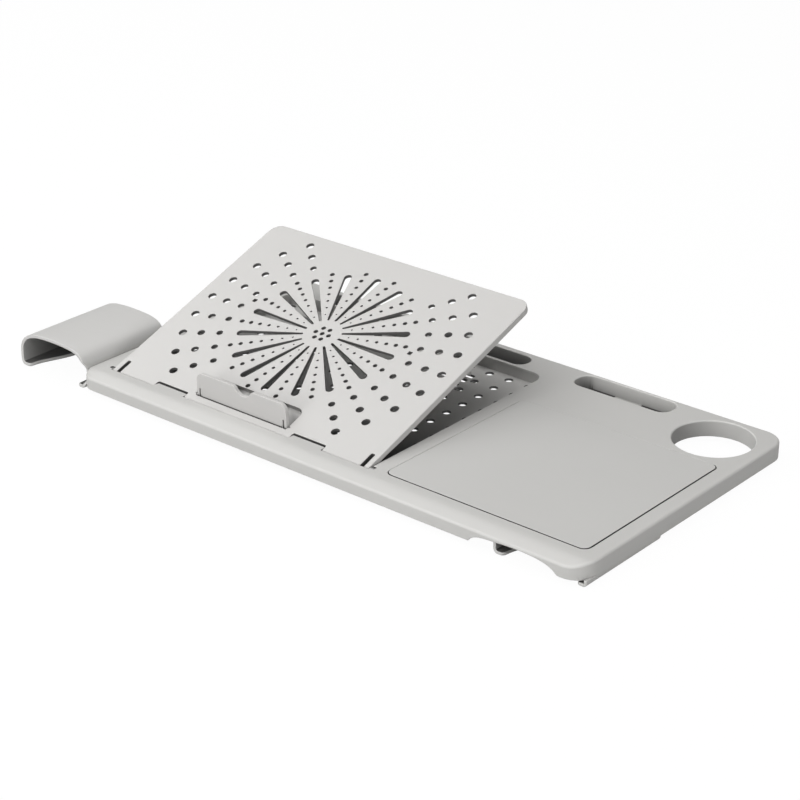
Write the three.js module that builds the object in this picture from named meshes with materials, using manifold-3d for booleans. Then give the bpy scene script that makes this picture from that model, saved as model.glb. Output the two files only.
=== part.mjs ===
// Chair laptop tray: a moulded tray that clips over both armrests of a chair, with a tilting
// laptop panel, a flip-up stop, a mouse surface, a cup hole and slots for a tablet and a phone.
// Millimetres, +Z up, +X along the tray to the right, +Y to the back.
// The shapes are written about a datum at the left end of the panel's hinge edge on the tray top,
// and moved at the end so that the origin is at the bottom centre of the whole.

import * as THREE from 'three';
import { mergeVertices } from 'three/addons/utils/BufferGeometryUtils.js';
import Module from 'manifold-3d';

const wasm = await Module();
wasm.setup();

// Laptop panel, measured along its own slope from the hinge edge
const PANEL_WIDTH = 340;
const PANEL_LENGTH = 258.6;
const PANEL_THICK = 5.8;
const PANEL_PLATE = 3.0;
const PANEL_RIM = 3.6;
const PANEL_CORNER = 13;
const PANEL_TILT = 19.7 * Math.PI / 180;
const HINGE_Y = 3.2;
const HINGE_Z = -2.6;
const HINGE_PIN_RADIUS = 1.9;
const HINGE_PIN_REACH = 4.6;
const HINGE_SEAT = 2.3;
const FLEX_SLIT_INSET = 6.2;
const FLEX_SLIT_WIDTH = 3.6;
const FLEX_SLIT_LENGTH = 18.5;

// Pattern of holes in the panel, which grows and shrinks with the panel
const PATTERN = Math.min(PANEL_WIDTH / 340, PANEL_LENGTH / 258.6);
const ROSETTE_X = PANEL_WIDTH / 2;
const ROSETTE_S = PANEL_LENGTH - 124.1 * PATTERN;
const SPOKES = 16;
const SPOKE_INNER = 20.5 * PATTERN;
const SPOKE_OUTER = 92.5 * PATTERN;
const SPOKE_INNER_WIDTH = 2.6 * PATTERN;
const SPOKE_OUTER_WIDTH = 8.2 * PATTERN;
const DOT_FIRST = 30.2 * PATTERN;
const DOT_STEP = 10.8 * PATTERN;
const DOTS_PER_LINE = 7;
const DOT_FIRST_RADIUS = 0.9 * PATTERN;
const DOT_LAST_RADIUS = 2.6 * PATTERN;
const RING_RADII = [111.5 * PATTERN, 132 * PATTERN, 152.5 * PATTERN];
const RING_HOLE_RADII = [3.5 * PATTERN, 4.0 * PATTERN, 4.4 * PATTERN];
const RING_ROWS = 9;
const VENT_RING = 8.4 * PATTERN;
const VENT_RADIUS = 2.5 * PATTERN;

// Flip-up stop for the laptop's front edge
const STOP_CENTRE = PANEL_WIDTH / 2 + 0.5;
const STOP_WIDTH = 118.6;
const STOP_THICK = 4.2;
const STOP_LENGTH = 25.1;
const STOP_AXIS_S = 11.6;
const STOP_AXIS_W = -STOP_THICK / 2;
const STOP_OPEN = 72 * Math.PI / 180;
const STOP_CORNER = 8;
const STOP_NOTCH_RADIUS = 12;
const STOP_NOTCH_DEPTH = 7.8;
const STOP_NOTCH_OFFSET = 2.9;
const STOP_SLIT_INSET = 3;
const STOP_SLIT_WIDTH = 1.4;
const STOP_SLIT_LENGTH = 8.5;
const STOP_PIN_RADIUS = 1.1;

// Recess that the laptop panel folds into
const RECESS_GAP = 1.2;
const RECESS_LEFT = -RECESS_GAP;
const RECESS_RIGHT = PANEL_WIDTH + RECESS_GAP;
const RECESS_FRONT = -RECESS_GAP;
const RECESS_BACK = PANEL_LENGTH + 8.1;
const RECESS_CORNER = 15;
const FLOOR_TOP = -12.4;
const FLOOR_BOTTOM = -14.6;
const TUB_WALL = 2.2;
const FLOOR_HOLE_RADIUS = 4.4;
const FLOOR_HOLE_PITCH = 24.8;
const FLOOR_HOLE_FIRST_X = 5.7;
const FLOOR_HOLE_FIRST_Y = 9.3;
const FLOOR_HOLE_COLUMNS = Math.floor((PANEL_WIDTH - 2 * FLOOR_HOLE_FIRST_X) / FLOOR_HOLE_PITCH) + 1;
const FLOOR_HOLE_ROWS = Math.floor((RECESS_BACK - 1.5 * FLOOR_HOLE_FIRST_Y) / FLOOR_HOLE_PITCH) + 1;

// Tabs of the front edge that reach into the panel's notches
const TAB_WIDTH = 40.5;
const TAB_STARTS = [60.0, PANEL_WIDTH - TAB_WIDTH - 58.0];
const TAB_REACH = 5.8;

// Prop that holds the panel up; its feet stand just clear of the tub floor
const PROP_AXIS_S = PANEL_LENGTH - 108.6;
const PROP_AXIS_W = -8.9;
const PROP_LENGTH = 111;
const PROP_THICK = 4.4;
const PROP_ARM_WIDTH = 14;
const PROP_FOOT_WIDTH = 28;
const PROP_ARMS = [PANEL_WIDTH / 2 - 80, PANEL_WIDTH / 2 + 84];
const PROP_FOOT_GAP = 0.35;
const PROP_PIN_RADIUS = 1.5;
const PROP_AT_Y = PROP_AXIS_S - PANEL_THICK / 2;
const PROP_AT_Z = PANEL_THICK / 2 + PROP_AXIS_W;
const PROP_RISE = HINGE_Z + PROP_AT_Y * Math.sin(PANEL_TILT) + PROP_AT_Z * Math.cos(PANEL_TILT)
  - (FLOOR_TOP + PROP_THICK / 2 + PROP_FOOT_GAP);
const PROP_REACH = PROP_LENGTH - PROP_THICK / 2;
const PROP_LEAN = Math.asin(PROP_RISE / PROP_REACH);
const FOOT_Y = HINGE_Y + PROP_AT_Y * Math.cos(PANEL_TILT) - PROP_AT_Z * Math.sin(PANEL_TILT)
  + PROP_REACH * Math.cos(PROP_LEAN);
const FOOT_ROWS = [FOOT_Y, FOOT_Y - 12.3, FOOT_Y - 26.2];
const FOOT_SLOT_WIDTH = 7.4;
const FOOT_SLOT_LENGTH = 36;

// Mouse surface, cup hole, tablet slot and phone pocket
const PAD_LEFT = RECESS_RIGHT + 16.4;
const PAD_WIDTH = 225.3;
const PAD_RIGHT = PAD_LEFT + PAD_WIDTH;
const PAD_FRONT = 1.7;
const PAD_BACK = RECESS_BACK - 57.2;
const PAD_CORNER = 8;
const PAD_SEAT = -1.7;
const PAD_THICK = 1.5;
const PAD_TOP = 0.1;
const CUP_RADIUS = 39.2;
const CUP_TUBE = 2.6;
const CUP_X = PAD_RIGHT + 3.05 - CUP_RADIUS;
const CUP_Y = RECESS_BACK - 12.0;
const SLOT_INSET = 31.5;
const SLOT_LEFT = SLOT_INSET;
const SLOT_RIGHT = PANEL_WIDTH - SLOT_INSET;
const SLOT_FRONT = RECESS_BACK + 3.8;
const SLOT_WIDTH = 24.5;
const SLOT_BACK = SLOT_FRONT + SLOT_WIDTH;
const SLOT_FLOOR = -14.2;
const POCKET_LEFT = PAD_LEFT + 11.4;
const POCKET_LENGTH = 113;
const POCKET_RIGHT = POCKET_LEFT + POCKET_LENGTH;
const POCKET_FRONT = RECESS_BACK + 3.6;
const POCKET_WIDTH = 27.7;
const POCKET_BACK = POCKET_FRONT + POCKET_WIDTH;
const POCKET_CORNER = 11.5;
const POCKET_FLOOR = -14.0;
const POCKET_STEP_LEFT = POCKET_LEFT + 37;
const POCKET_STEP_RIGHT = POCKET_RIGHT - 44.3;
const POCKET_WALL_FOOT = POCKET_FRONT + 26.6;
const POCKET_GROOVE_WIDTH = 3.4;
const POCKET_GROOVE_DEPTH = 1.2;

// Tray body
const TRAY_LEFT = RECESS_LEFT - 20.3;
const TRAY_RIGHT = PAD_RIGHT + 16.7;
const TRAY_FRONT = -25.3;
const TRAY_BACK = SLOT_BACK + 7.1;
const TRAY_DEPTH = 16.85;
const TRAY_WALL = 2.8;
const TRAY_SKIN = 2.8;
const CORNER_RIGHT = 23;
const CORNER_LEFT = 16;
const FRONT_LIP_DROP = 4.4;
const FRONT_SLOPE_START = -6;
const RIB_BOTTOM = -14;
const RIB_WIDTH = 2;

// Arm hook on the left, made to slide out with its plate
const HOOK_INNER = TRAY_LEFT - 0.3;
const HOOK_WIDTH = 96.2;
const HOOK_OUTER = HOOK_INNER - HOOK_WIDTH;
const HOOK_FRONT = -19;
const HOOK_BACK = 93;
const HOOK_SHEET = 3;
const HOOK_BOTTOM = -22;
const HOOK_CROWN = 18.5;
const HOOK_LIP_NARROW = 11;
const HOOK_LIP_WIDE = 27;
const HOOK_INNER_LIP_NARROW = 8;
const HOOK_INNER_LIP_WIDE = 15;
const PLATE_LEFT = HOOK_INNER - 12.4;
const PLATE_LENGTH = 194.2;
const PLATE_RIGHT = PLATE_LEFT + PLATE_LENGTH;
const PLATE_FRONT = 4;
const PLATE_BACK = 74;
const PLATE_TOP = -15.0;
const PLATE_BOTTOM = -18.0;
const RAIL_LEFT = 10;
const RAIL_RIGHT = PLATE_RIGHT + 6;
const RAIL_BOTTOM = -20.4;

// Crown of the arm hook: share of its width from the outer side, share of its height
const CROWN_LINE = [
  [0, -0.216], [0.008, 0.032], [0.032, 0.281], [0.079, 0.551], [0.150, 0.757], [0.239, 0.892], [0.353, 0.968],
  [0.478, 1], [0.603, 1], [0.728, 0.973], [0.826, 0.914], [0.900, 0.795], [0.950, 0.627], [0.981, 0.411],
  [0.996, 0.184], [1, -0.081],
];

// Channel under the right end for the other armrest
const LIP_BOTTOM = -21;
const LIP_SHEET = 3;
const CHANNEL_WIDTH = 98.1;
const INNER_HOOK_X = TRAY_RIGHT - CHANNEL_WIDTH;
const INNER_HOOK_TOP = -7.2;
const INNER_HOOK_FLANGE = 22;
const INNER_HOOK_SHEET = 2.9;
const INNER_HOOK_FRONT = -21.8;
const INNER_HOOK_BACK = 91;
const INNER_HOOK_LIP_NARROW = 12;
const INNER_HOOK_LIP_WIDE = 27;
const END_LIP_FRONT = -20;
const END_LIP_BACK = 91;
const END_LIP_NARROW = 10.5;
const END_LIP_WIDE = 22;

// Way in for the armrest: share of the arch's width, share of its rise
const ARCH_LEFT = INNER_HOOK_X - 25.5;
const ARCH_RIGHT = TRAY_RIGHT - 27.4;
const ARCH_RISE = 9.75;
const ARCH_LINE = [
  [0.003, 0.056], [0.043, 0.405], [0.114, 0.692], [0.283, 0.856], [0.567, 1], [0.754, 0.908], [0.894, 0.641],
  [0.954, 0.364], [0.996, 0.036],
];

// Screws
const SCREW_HEAD_RADIUS = 2.5;
const SCREW_HEAD_HEIGHT = 1.5;
const SCREW_SHANK_RADIUS = 1.2;
const SCREW_CLEARANCE = 0.35;

// Origin at the bottom centre of the whole
const ORIGIN_X = (HOOK_OUTER + TRAY_RIGHT) / 2;
const ORIGIN_Y = (TRAY_FRONT + TRAY_BACK) / 2;
const ORIGIN_Z = HOOK_BOTTOM;

// Turns a closed three.js geometry into a solid that can be joined and cut.
function solid(geometry) {
  const bare = geometry.index ? geometry.toNonIndexed() : geometry.clone();
  bare.deleteAttribute('normal');
  bare.deleteAttribute('uv');
  const merged = mergeVertices(bare, 1e-4);
  const index = merged.index.array;
  const kept = [];
  for (let i = 0; i < index.length; i += 3) {
    const [a, b, c] = [index[i], index[i + 1], index[i + 2]];
    if (a !== b && b !== c && a !== c) kept.push(a, b, c);
  }
  return new wasm.Manifold(new wasm.Mesh({
    numProp: 3,
    vertProperties: new Float32Array(merged.attributes.position.array),
    triVerts: new Uint32Array(kept),
  }));
}

// Turns a solid back into a three.js geometry with flat faces.
function geometryOf(body) {
  const mesh = body.getMesh();
  const geometry = new THREE.BufferGeometry();
  geometry.setAttribute('position', new THREE.BufferAttribute(new Float32Array(mesh.vertProperties), 3));
  geometry.setIndex(new THREE.BufferAttribute(new Uint32Array(mesh.triVerts), 1));
  geometry.computeVertexNormals();
  return geometry;
}

// A rectangle with its own radius at each corner: front left, front right, back right, back left.
function roundedRect(x0, y0, x1, y1, radii) {
  const [fl, fr, br, bl] = radii;
  const shape = new THREE.Shape();
  shape.moveTo(x0 + fl, y0);
  shape.lineTo(x1 - fr, y0);
  if (fr > 0) shape.absarc(x1 - fr, y0 + fr, fr, -Math.PI / 2, 0, false);
  shape.lineTo(x1, y1 - br);
  if (br > 0) shape.absarc(x1 - br, y1 - br, br, 0, Math.PI / 2, false);
  shape.lineTo(x0 + bl, y1);
  if (bl > 0) shape.absarc(x0 + bl, y1 - bl, bl, Math.PI / 2, Math.PI, false);
  shape.lineTo(x0, y0 + fl);
  if (fl > 0) shape.absarc(x0 + fl, y0 + fl, fl, Math.PI, 1.5 * Math.PI, false);
  return shape;
}

function polygon(points) {
  return new THREE.Shape(points.map(([a, b]) => new THREE.Vector2(a, b)));
}

// A plan shape drawn up from z0 to z1.
function prismZ(shape, z0, z1, segments = 6) {
  const geometry = new THREE.ExtrudeGeometry(shape, {
    depth: z1 - z0, bevelEnabled: false, curveSegments: segments,
  });
  geometry.translate(0, 0, z0);
  return solid(geometry);
}

// A side shape in (y, z) drawn along X.
function prismX(shape, x0, x1, segments = 6) {
  const geometry = new THREE.ExtrudeGeometry(shape, {
    depth: x1 - x0, bevelEnabled: false, curveSegments: segments,
  });
  const turn = new THREE.Matrix4().makeBasis(
    new THREE.Vector3(0, 1, 0), new THREE.Vector3(0, 0, 1), new THREE.Vector3(1, 0, 0));
  geometry.applyMatrix4(turn);
  geometry.translate(x0, 0, 0);
  return solid(geometry);
}

// An end shape in (x, z) drawn along Y.
function prismY(shape, y0, y1, segments = 6) {
  const geometry = new THREE.ExtrudeGeometry(shape, {
    depth: y1 - y0, bevelEnabled: false, curveSegments: segments,
  });
  const turn = new THREE.Matrix4().makeBasis(
    new THREE.Vector3(1, 0, 0), new THREE.Vector3(0, 0, 1), new THREE.Vector3(0, -1, 0));
  geometry.applyMatrix4(turn);
  geometry.translate(0, y1, 0);
  return solid(geometry);
}

function box(x0, x1, y0, y1, z0, z1) {
  const geometry = new THREE.BoxGeometry(x1 - x0, y1 - y0, z1 - z0);
  geometry.translate((x0 + x1) / 2, (y0 + y1) / 2, (z0 + z1) / 2);
  return solid(geometry);
}

// An upright round bar.
function barZ(x, y, radius, z0, z1, segments) {
  const geometry = new THREE.CylinderGeometry(radius, radius, z1 - z0, segments);
  geometry.rotateX(Math.PI / 2);
  geometry.translate(x, y, (z0 + z1) / 2);
  return solid(geometry);
}

// A round bar along X.
function barX(x0, x1, y, z, radius, segments) {
  const geometry = new THREE.CylinderGeometry(radius, radius, x1 - x0, segments);
  geometry.rotateZ(Math.PI / 2);
  geometry.translate((x0 + x1) / 2, y, z);
  return solid(geometry);
}

function circlePath(x, y, radius, segments, turn = 0) {
  const path = new THREE.Path();
  for (let i = 0; i < segments; i += 1) {
    const a = turn + 2 * Math.PI * i / segments;
    if (i === 0) path.moveTo(x + radius * Math.cos(a), y + radius * Math.sin(a));
    else path.lineTo(x + radius * Math.cos(a), y + radius * Math.sin(a));
  }
  path.closePath();
  return path;
}

// Width of a tongue-shaped lip at y: narrow at both ends and wide in the middle.
function tongue(y, y0, y1, narrow, wide) {
  const swing = (1 - Math.cos(2 * Math.PI * (y - y0) / (y1 - y0))) / 2;
  return narrow + (wide - narrow) * swing;
}

function steps(from, to, count) {
  return Array.from({ length: count + 1 }, (_, i) => from + (to - from) * i / count);
}

// The line of a bent sheet, thickened to the inside by its gauge.
function sheetOutline(points, gauge) {
  const inner = points.map(([x, z], i) => {
    const before = points[Math.max(i - 1, 0)];
    const after = points[Math.min(i + 1, points.length - 1)];
    const length = Math.hypot(after[0] - before[0], after[1] - before[1]);
    const along = [(after[0] - before[0]) / length, (after[1] - before[1]) / length];
    return [x + along[1] * gauge, z - along[0] * gauge];
  });
  return polygon([...points, ...inner.reverse()]);
}

// Points of an arc in (x, z), angles in degrees.
function arc(cx, cz, radius, from, to, count) {
  return steps(from, to, count).map((degrees) => {
    const a = degrees * Math.PI / 180;
    return [cx + radius * Math.cos(a), cz + radius * Math.sin(a)];
  });
}

// Tray shell: outline from above, cut to the side profile, and hollowed from below.
function trayShell() {
  const radii = [CORNER_LEFT, CORNER_RIGHT, CORNER_RIGHT, CORNER_LEFT];
  const innerRadii = radii.map((r) => r - TRAY_WALL);
  const outline = roundedRect(TRAY_LEFT, TRAY_FRONT, TRAY_RIGHT, TRAY_BACK, radii);
  const insideOutline = roundedRect(
    TRAY_LEFT + TRAY_WALL, TRAY_FRONT + TRAY_WALL, TRAY_RIGHT - TRAY_WALL, TRAY_BACK - TRAY_WALL, innerRadii);
  const topLine = [
    [TRAY_BACK + 1, 0], [FRONT_SLOPE_START, 0], [FRONT_SLOPE_START - 3, -0.068 * FRONT_LIP_DROP],
    [FRONT_SLOPE_START - 6.5, -0.239 * FRONT_LIP_DROP],
    [TRAY_FRONT, -FRONT_LIP_DROP], [TRAY_FRONT - 1, -FRONT_LIP_DROP - 0.26],
  ];
  const low = -TRAY_DEPTH - 2;
  const outerSide = polygon([[TRAY_FRONT - 1, low], [TRAY_BACK + 1, low], ...topLine]);
  const innerSide = polygon([
    [TRAY_FRONT - 1, low], [TRAY_BACK + 1, low], ...topLine.map(([y, z]) => [y, z - TRAY_SKIN])]);
  const outer = prismZ(outline, -TRAY_DEPTH, 1).intersect(prismX(outerSide, TRAY_LEFT - 1, TRAY_RIGHT + 1));
  const hollow = prismZ(insideOutline, low, 1).intersect(prismX(innerSide, TRAY_LEFT - 1, TRAY_RIGHT + 1));
  let body = outer.subtract(hollow);

  // Perforated tub under the laptop panel
  const tubTop = -1;
  let tub = prismZ(roundedRect(
    RECESS_LEFT - TUB_WALL, RECESS_FRONT - TUB_WALL, RECESS_RIGHT + TUB_WALL, RECESS_BACK + TUB_WALL,
    [3, 3, RECESS_CORNER + TUB_WALL, RECESS_CORNER + TUB_WALL]), FLOOR_BOTTOM, tubTop, 4);
  const footSlots = FOOT_ROWS.flatMap((y) => PROP_ARMS.map((x) => [x, y]));
  const floorCutters = footSlots.map(([x, y]) => box(
    x - FOOT_SLOT_LENGTH / 2, x + FOOT_SLOT_LENGTH / 2, y - FOOT_SLOT_WIDTH / 2, y + FOOT_SLOT_WIDTH / 2,
    FLOOR_BOTTOM - 1, FLOOR_TOP + 1));
  for (let row = 0; row < FLOOR_HOLE_ROWS; row += 1) {
    for (let column = 0; column < FLOOR_HOLE_COLUMNS; column += 1) {
      const x = FLOOR_HOLE_FIRST_X + column * FLOOR_HOLE_PITCH;
      const y = FLOOR_HOLE_FIRST_Y + row * FLOOR_HOLE_PITCH;
      const nearSlot = footSlots.some(([sx, sy]) => Math.abs(x - sx) < FOOT_SLOT_LENGTH / 2 + 6
        && Math.abs(y - sy) < FOOT_SLOT_WIDTH / 2 + 5.5);
      const nearScrew = railScrewPoints().some(([sx, sy]) => Math.hypot(x - sx, y - sy) < 9);
      if (!nearSlot && !nearScrew) {
        floorCutters.push(barZ(x, y, FLOOR_HOLE_RADIUS, FLOOR_BOTTOM - 1, FLOOR_TOP + 1, 6));
      }
    }
  }
  for (const [x, y] of railScrewPoints()) {
    floorCutters.push(barZ(x, y, SCREW_SHANK_RADIUS + SCREW_CLEARANCE, FLOOR_BOTTOM - 1, FLOOR_TOP - 0.6, 8));
  }
  for (const cutter of floorCutters) tub = tub.subtract(cutter);
  body = body.add(tub);
  body = body.subtract(prismZ(roundedRect(
    RECESS_LEFT, RECESS_FRONT, RECESS_RIGHT, RECESS_BACK, [1, 1, RECESS_CORNER, RECESS_CORNER]), FLOOR_TOP, 2, 5));

  // Tabs that fill the notches of the panel's hinge edge, and open seats for its hinge pins
  for (const x of TAB_STARTS) {
    body = body.add(box(x, x + TAB_WIDTH, RECESS_FRONT - 1.5, TAB_REACH, -2.6, 0));
  }
  for (const [x0, x1] of [[RECESS_LEFT - HINGE_PIN_REACH, RECESS_LEFT + 1],
    [RECESS_RIGHT - 1, RECESS_RIGHT + HINGE_PIN_REACH]]) {
    const cheek = x0 < 0 ? box(x0 - 2, RECESS_LEFT - 0.5, -1.5, 8, -9, -1)
      : box(RECESS_RIGHT + 0.5, x1 + 2, -1.5, 8, -9, -1);
    body = body.add(cheek);
    body = body.subtract(barX(x0, x1, HINGE_Y, HINGE_Z, HINGE_SEAT, 12));
    body = body.subtract(box(x0, x1, HINGE_Y - HINGE_SEAT, HINGE_Y + HINGE_SEAT, HINGE_Z, 1));
  }

  // Tablet slot
  const slotRound = (SLOT_BACK - SLOT_FRONT) / 2;
  const slotShape = (grow) => roundedRect(SLOT_LEFT - grow, SLOT_FRONT - grow, SLOT_RIGHT + grow, SLOT_BACK + grow,
    [1, 1, 1, 1].map((r) => r * (slotRound + grow) - 0.01));
  body = body.add(prismZ(slotShape(2), SLOT_FLOOR - 2, -1));
  body = body.subtract(prismZ(slotShape(0), SLOT_FLOOR, 2));

  // Phone pocket with a drafted back, and a groove at its foot towards both ends
  const pocketShape = (grow) => roundedRect(
    POCKET_LEFT - grow, POCKET_FRONT - grow, POCKET_RIGHT + grow, POCKET_BACK + grow,
    [1, 1, 1, 1].map((r) => r * (POCKET_CORNER + grow)));
  const shallow = polygon([
    [POCKET_FRONT - 1, POCKET_FLOOR], [POCKET_WALL_FOOT, POCKET_FLOOR], [POCKET_BACK + 0.5, -0.2], [POCKET_BACK + 0.5, 2],
    [POCKET_FRONT - 1, 2]]);
  const grooveBack = POCKET_WALL_FOOT - 0.3;
  const grooveFloor = POCKET_FLOOR - POCKET_GROOVE_DEPTH;
  const groove = polygon([
    [grooveBack - POCKET_GROOVE_WIDTH, grooveFloor], [grooveBack, grooveFloor], [grooveBack, POCKET_FLOOR + 1],
    [grooveBack - POCKET_GROOVE_WIDTH, POCKET_FLOOR + 1]]);
  const pocketCut = prismX(shallow, POCKET_LEFT - 1, POCKET_RIGHT + 1)
    .add(prismX(groove, POCKET_LEFT - 1, POCKET_STEP_LEFT))
    .add(prismX(groove, POCKET_STEP_RIGHT, POCKET_RIGHT + 1));
  body = body.add(prismZ(pocketShape(1.6), POCKET_FLOOR - 2, -1));
  body = body.subtract(prismZ(pocketShape(0), grooveFloor - 0.5, 3).intersect(pocketCut));

  // Cup hole with a full-depth tube
  body = body.add(barZ(CUP_X, CUP_Y, CUP_RADIUS + CUP_TUBE, -TRAY_DEPTH, -1, 40));
  body = body.subtract(barZ(CUP_X, CUP_Y, CUP_RADIUS, -TRAY_DEPTH - 1, 2, 40));

  // Seat of the mouse surface, on a thicker skin, and ribs under the right half
  body = body.add(box(PAD_LEFT - 3, PAD_RIGHT + 3, PAD_FRONT - 1, PAD_BACK + 3, -4.6, -1));
  body = body.subtract(prismZ(roundedRect(
    PAD_LEFT, PAD_FRONT, PAD_RIGHT, PAD_BACK, [1, 1, 1, 1].map((r) => r * PAD_CORNER)), PAD_SEAT, 2, 4));
  for (const y of [PAD_FRONT + 110.3, PAD_BACK - 1.5]) {
    body = body.add(box(RECESS_RIGHT + 1, TRAY_RIGHT - 1, y, y + RIB_WIDTH, RIB_BOTTOM, -RIB_WIDTH));
  }
  for (const x of [PAD_LEFT + 54.4, INNER_HOOK_X - 37.5]) {
    body = body.add(box(x, x + RIB_WIDTH, TRAY_FRONT + 1, RECESS_BACK + 3.3, RIB_BOTTOM, -3));
  }
  for (const x of [PROP_ARMS[0] - 26, PROP_ARMS[1] + 20]) {
    body = body.add(box(
      x, x + RIB_WIDTH, FOOT_ROWS[2] - 17.6, FOOT_ROWS[0] + 12.2, -TRAY_DEPTH, FLOOR_BOTTOM + 0.5));
  }
  for (const [x, y] of hookScrewPoints()) {
    body = body.add(barZ(x, y, 4.2, INNER_HOOK_TOP + 0.3, -3, 10));
    body = body.subtract(barZ(x, y, SCREW_SHANK_RADIUS + SCREW_CLEARANCE, INNER_HOOK_TOP - 0.8, -2.6, 8));
  }

  // Way in for the armrest at the front right, and for the sliding plate at the left end
  const archSpan = ARCH_RIGHT - ARCH_LEFT;
  const arch = polygon([
    [ARCH_LEFT, low], ...ARCH_LINE.map(([across, up]) => [ARCH_LEFT + across * archSpan, -TRAY_DEPTH + up * ARCH_RISE]),
    [ARCH_RIGHT, low]]);
  body = body.subtract(prismY(arch, TRAY_FRONT - 1, TRAY_FRONT + TRAY_WALL + 0.6));
  body = body.subtract(box(
    TRAY_LEFT - 1, TRAY_LEFT + TRAY_WALL + 1, PLATE_FRONT - 0.6, PLATE_BACK + 0.6, -TRAY_DEPTH - 1, PLATE_TOP + 0.4));

  // Lip of the right end wall that hooks under the armrest
  const lipShape = polygon([
    [TRAY_RIGHT, -TRAY_DEPTH], [TRAY_RIGHT - LIP_SHEET, -TRAY_DEPTH],
    [TRAY_RIGHT - LIP_SHEET, LIP_BOTTOM + LIP_SHEET], [TRAY_RIGHT - END_LIP_WIDE, LIP_BOTTOM + LIP_SHEET],
    [TRAY_RIGHT - END_LIP_WIDE, LIP_BOTTOM], ...arc(TRAY_RIGHT - 4, LIP_BOTTOM + 4, 4, -90, 0, 4)]);
  const lipPlan = polygon([
    [TRAY_RIGHT + 1, END_LIP_FRONT - 1], [TRAY_RIGHT + 1, END_LIP_BACK + 1],
    ...steps(END_LIP_BACK, END_LIP_FRONT, 12).map((y) => [
      TRAY_RIGHT - tongue(y, END_LIP_FRONT, END_LIP_BACK, END_LIP_NARROW, END_LIP_WIDE), y])]);
  body = body.add(prismY(lipShape, END_LIP_FRONT, END_LIP_BACK)
    .intersect(prismZ(lipPlan, LIP_BOTTOM - 1, 0)));
  body = body.add(box(TRAY_RIGHT - LIP_SHEET + 0.1, TRAY_RIGHT - 0.01, 1, END_LIP_BACK, -TRAY_DEPTH - 0.5, -TRAY_DEPTH + 1));
  return body;
}

function railScrewPoints() {
  const xs = [RAIL_LEFT + 16, (RAIL_LEFT + RAIL_RIGHT) / 2, RAIL_RIGHT - 16];
  return [PLATE_FRONT - 3.4, PLATE_BACK + 3.4].flatMap((y) => xs.map((x) => [x, y]));
}

function hookScrewPoints() {
  return [2, 40, 78].map((y) => [INNER_HOOK_X - 12.5, y]);
}

function plateScrewPoints() {
  return [PLATE_FRONT + 14, (PLATE_FRONT + PLATE_BACK) / 2, PLATE_BACK - 14].map((y) => [HOOK_INNER - 7.4, y]);
}

// Screw pointing up, its head's underside at z.
function screw(x, y, z, length) {
  return barZ(x, y, SCREW_HEAD_RADIUS, z - SCREW_HEAD_HEIGHT, z, 10)
    .add(barZ(x, y, SCREW_SHANK_RADIUS, z - 0.5, z + length, 8));
}

// Hole for a screw pointing up: clearance for the shank and a counterbore for the head.
function screwHole(x, y, z, length) {
  const low = z - SCREW_HEAD_HEIGHT - 3;
  return barZ(x, y, SCREW_HEAD_RADIUS + SCREW_CLEARANCE, low, z, 10)
    .add(barZ(x, y, SCREW_SHANK_RADIUS + SCREW_CLEARANCE, low, z + length, 8));
}

// Mouse surface, set into its seat with a wider gap at the front and right.
function mousePad() {
  return prismZ(roundedRect(PAD_LEFT + 0.4, PAD_FRONT + 1.0, PAD_RIGHT - 1.0, PAD_BACK - 0.4,
    [1, 1, 1, 1].map((r) => r * (PAD_CORNER - 0.7))), PAD_TOP - PAD_THICK, PAD_TOP, 4);
}

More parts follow.
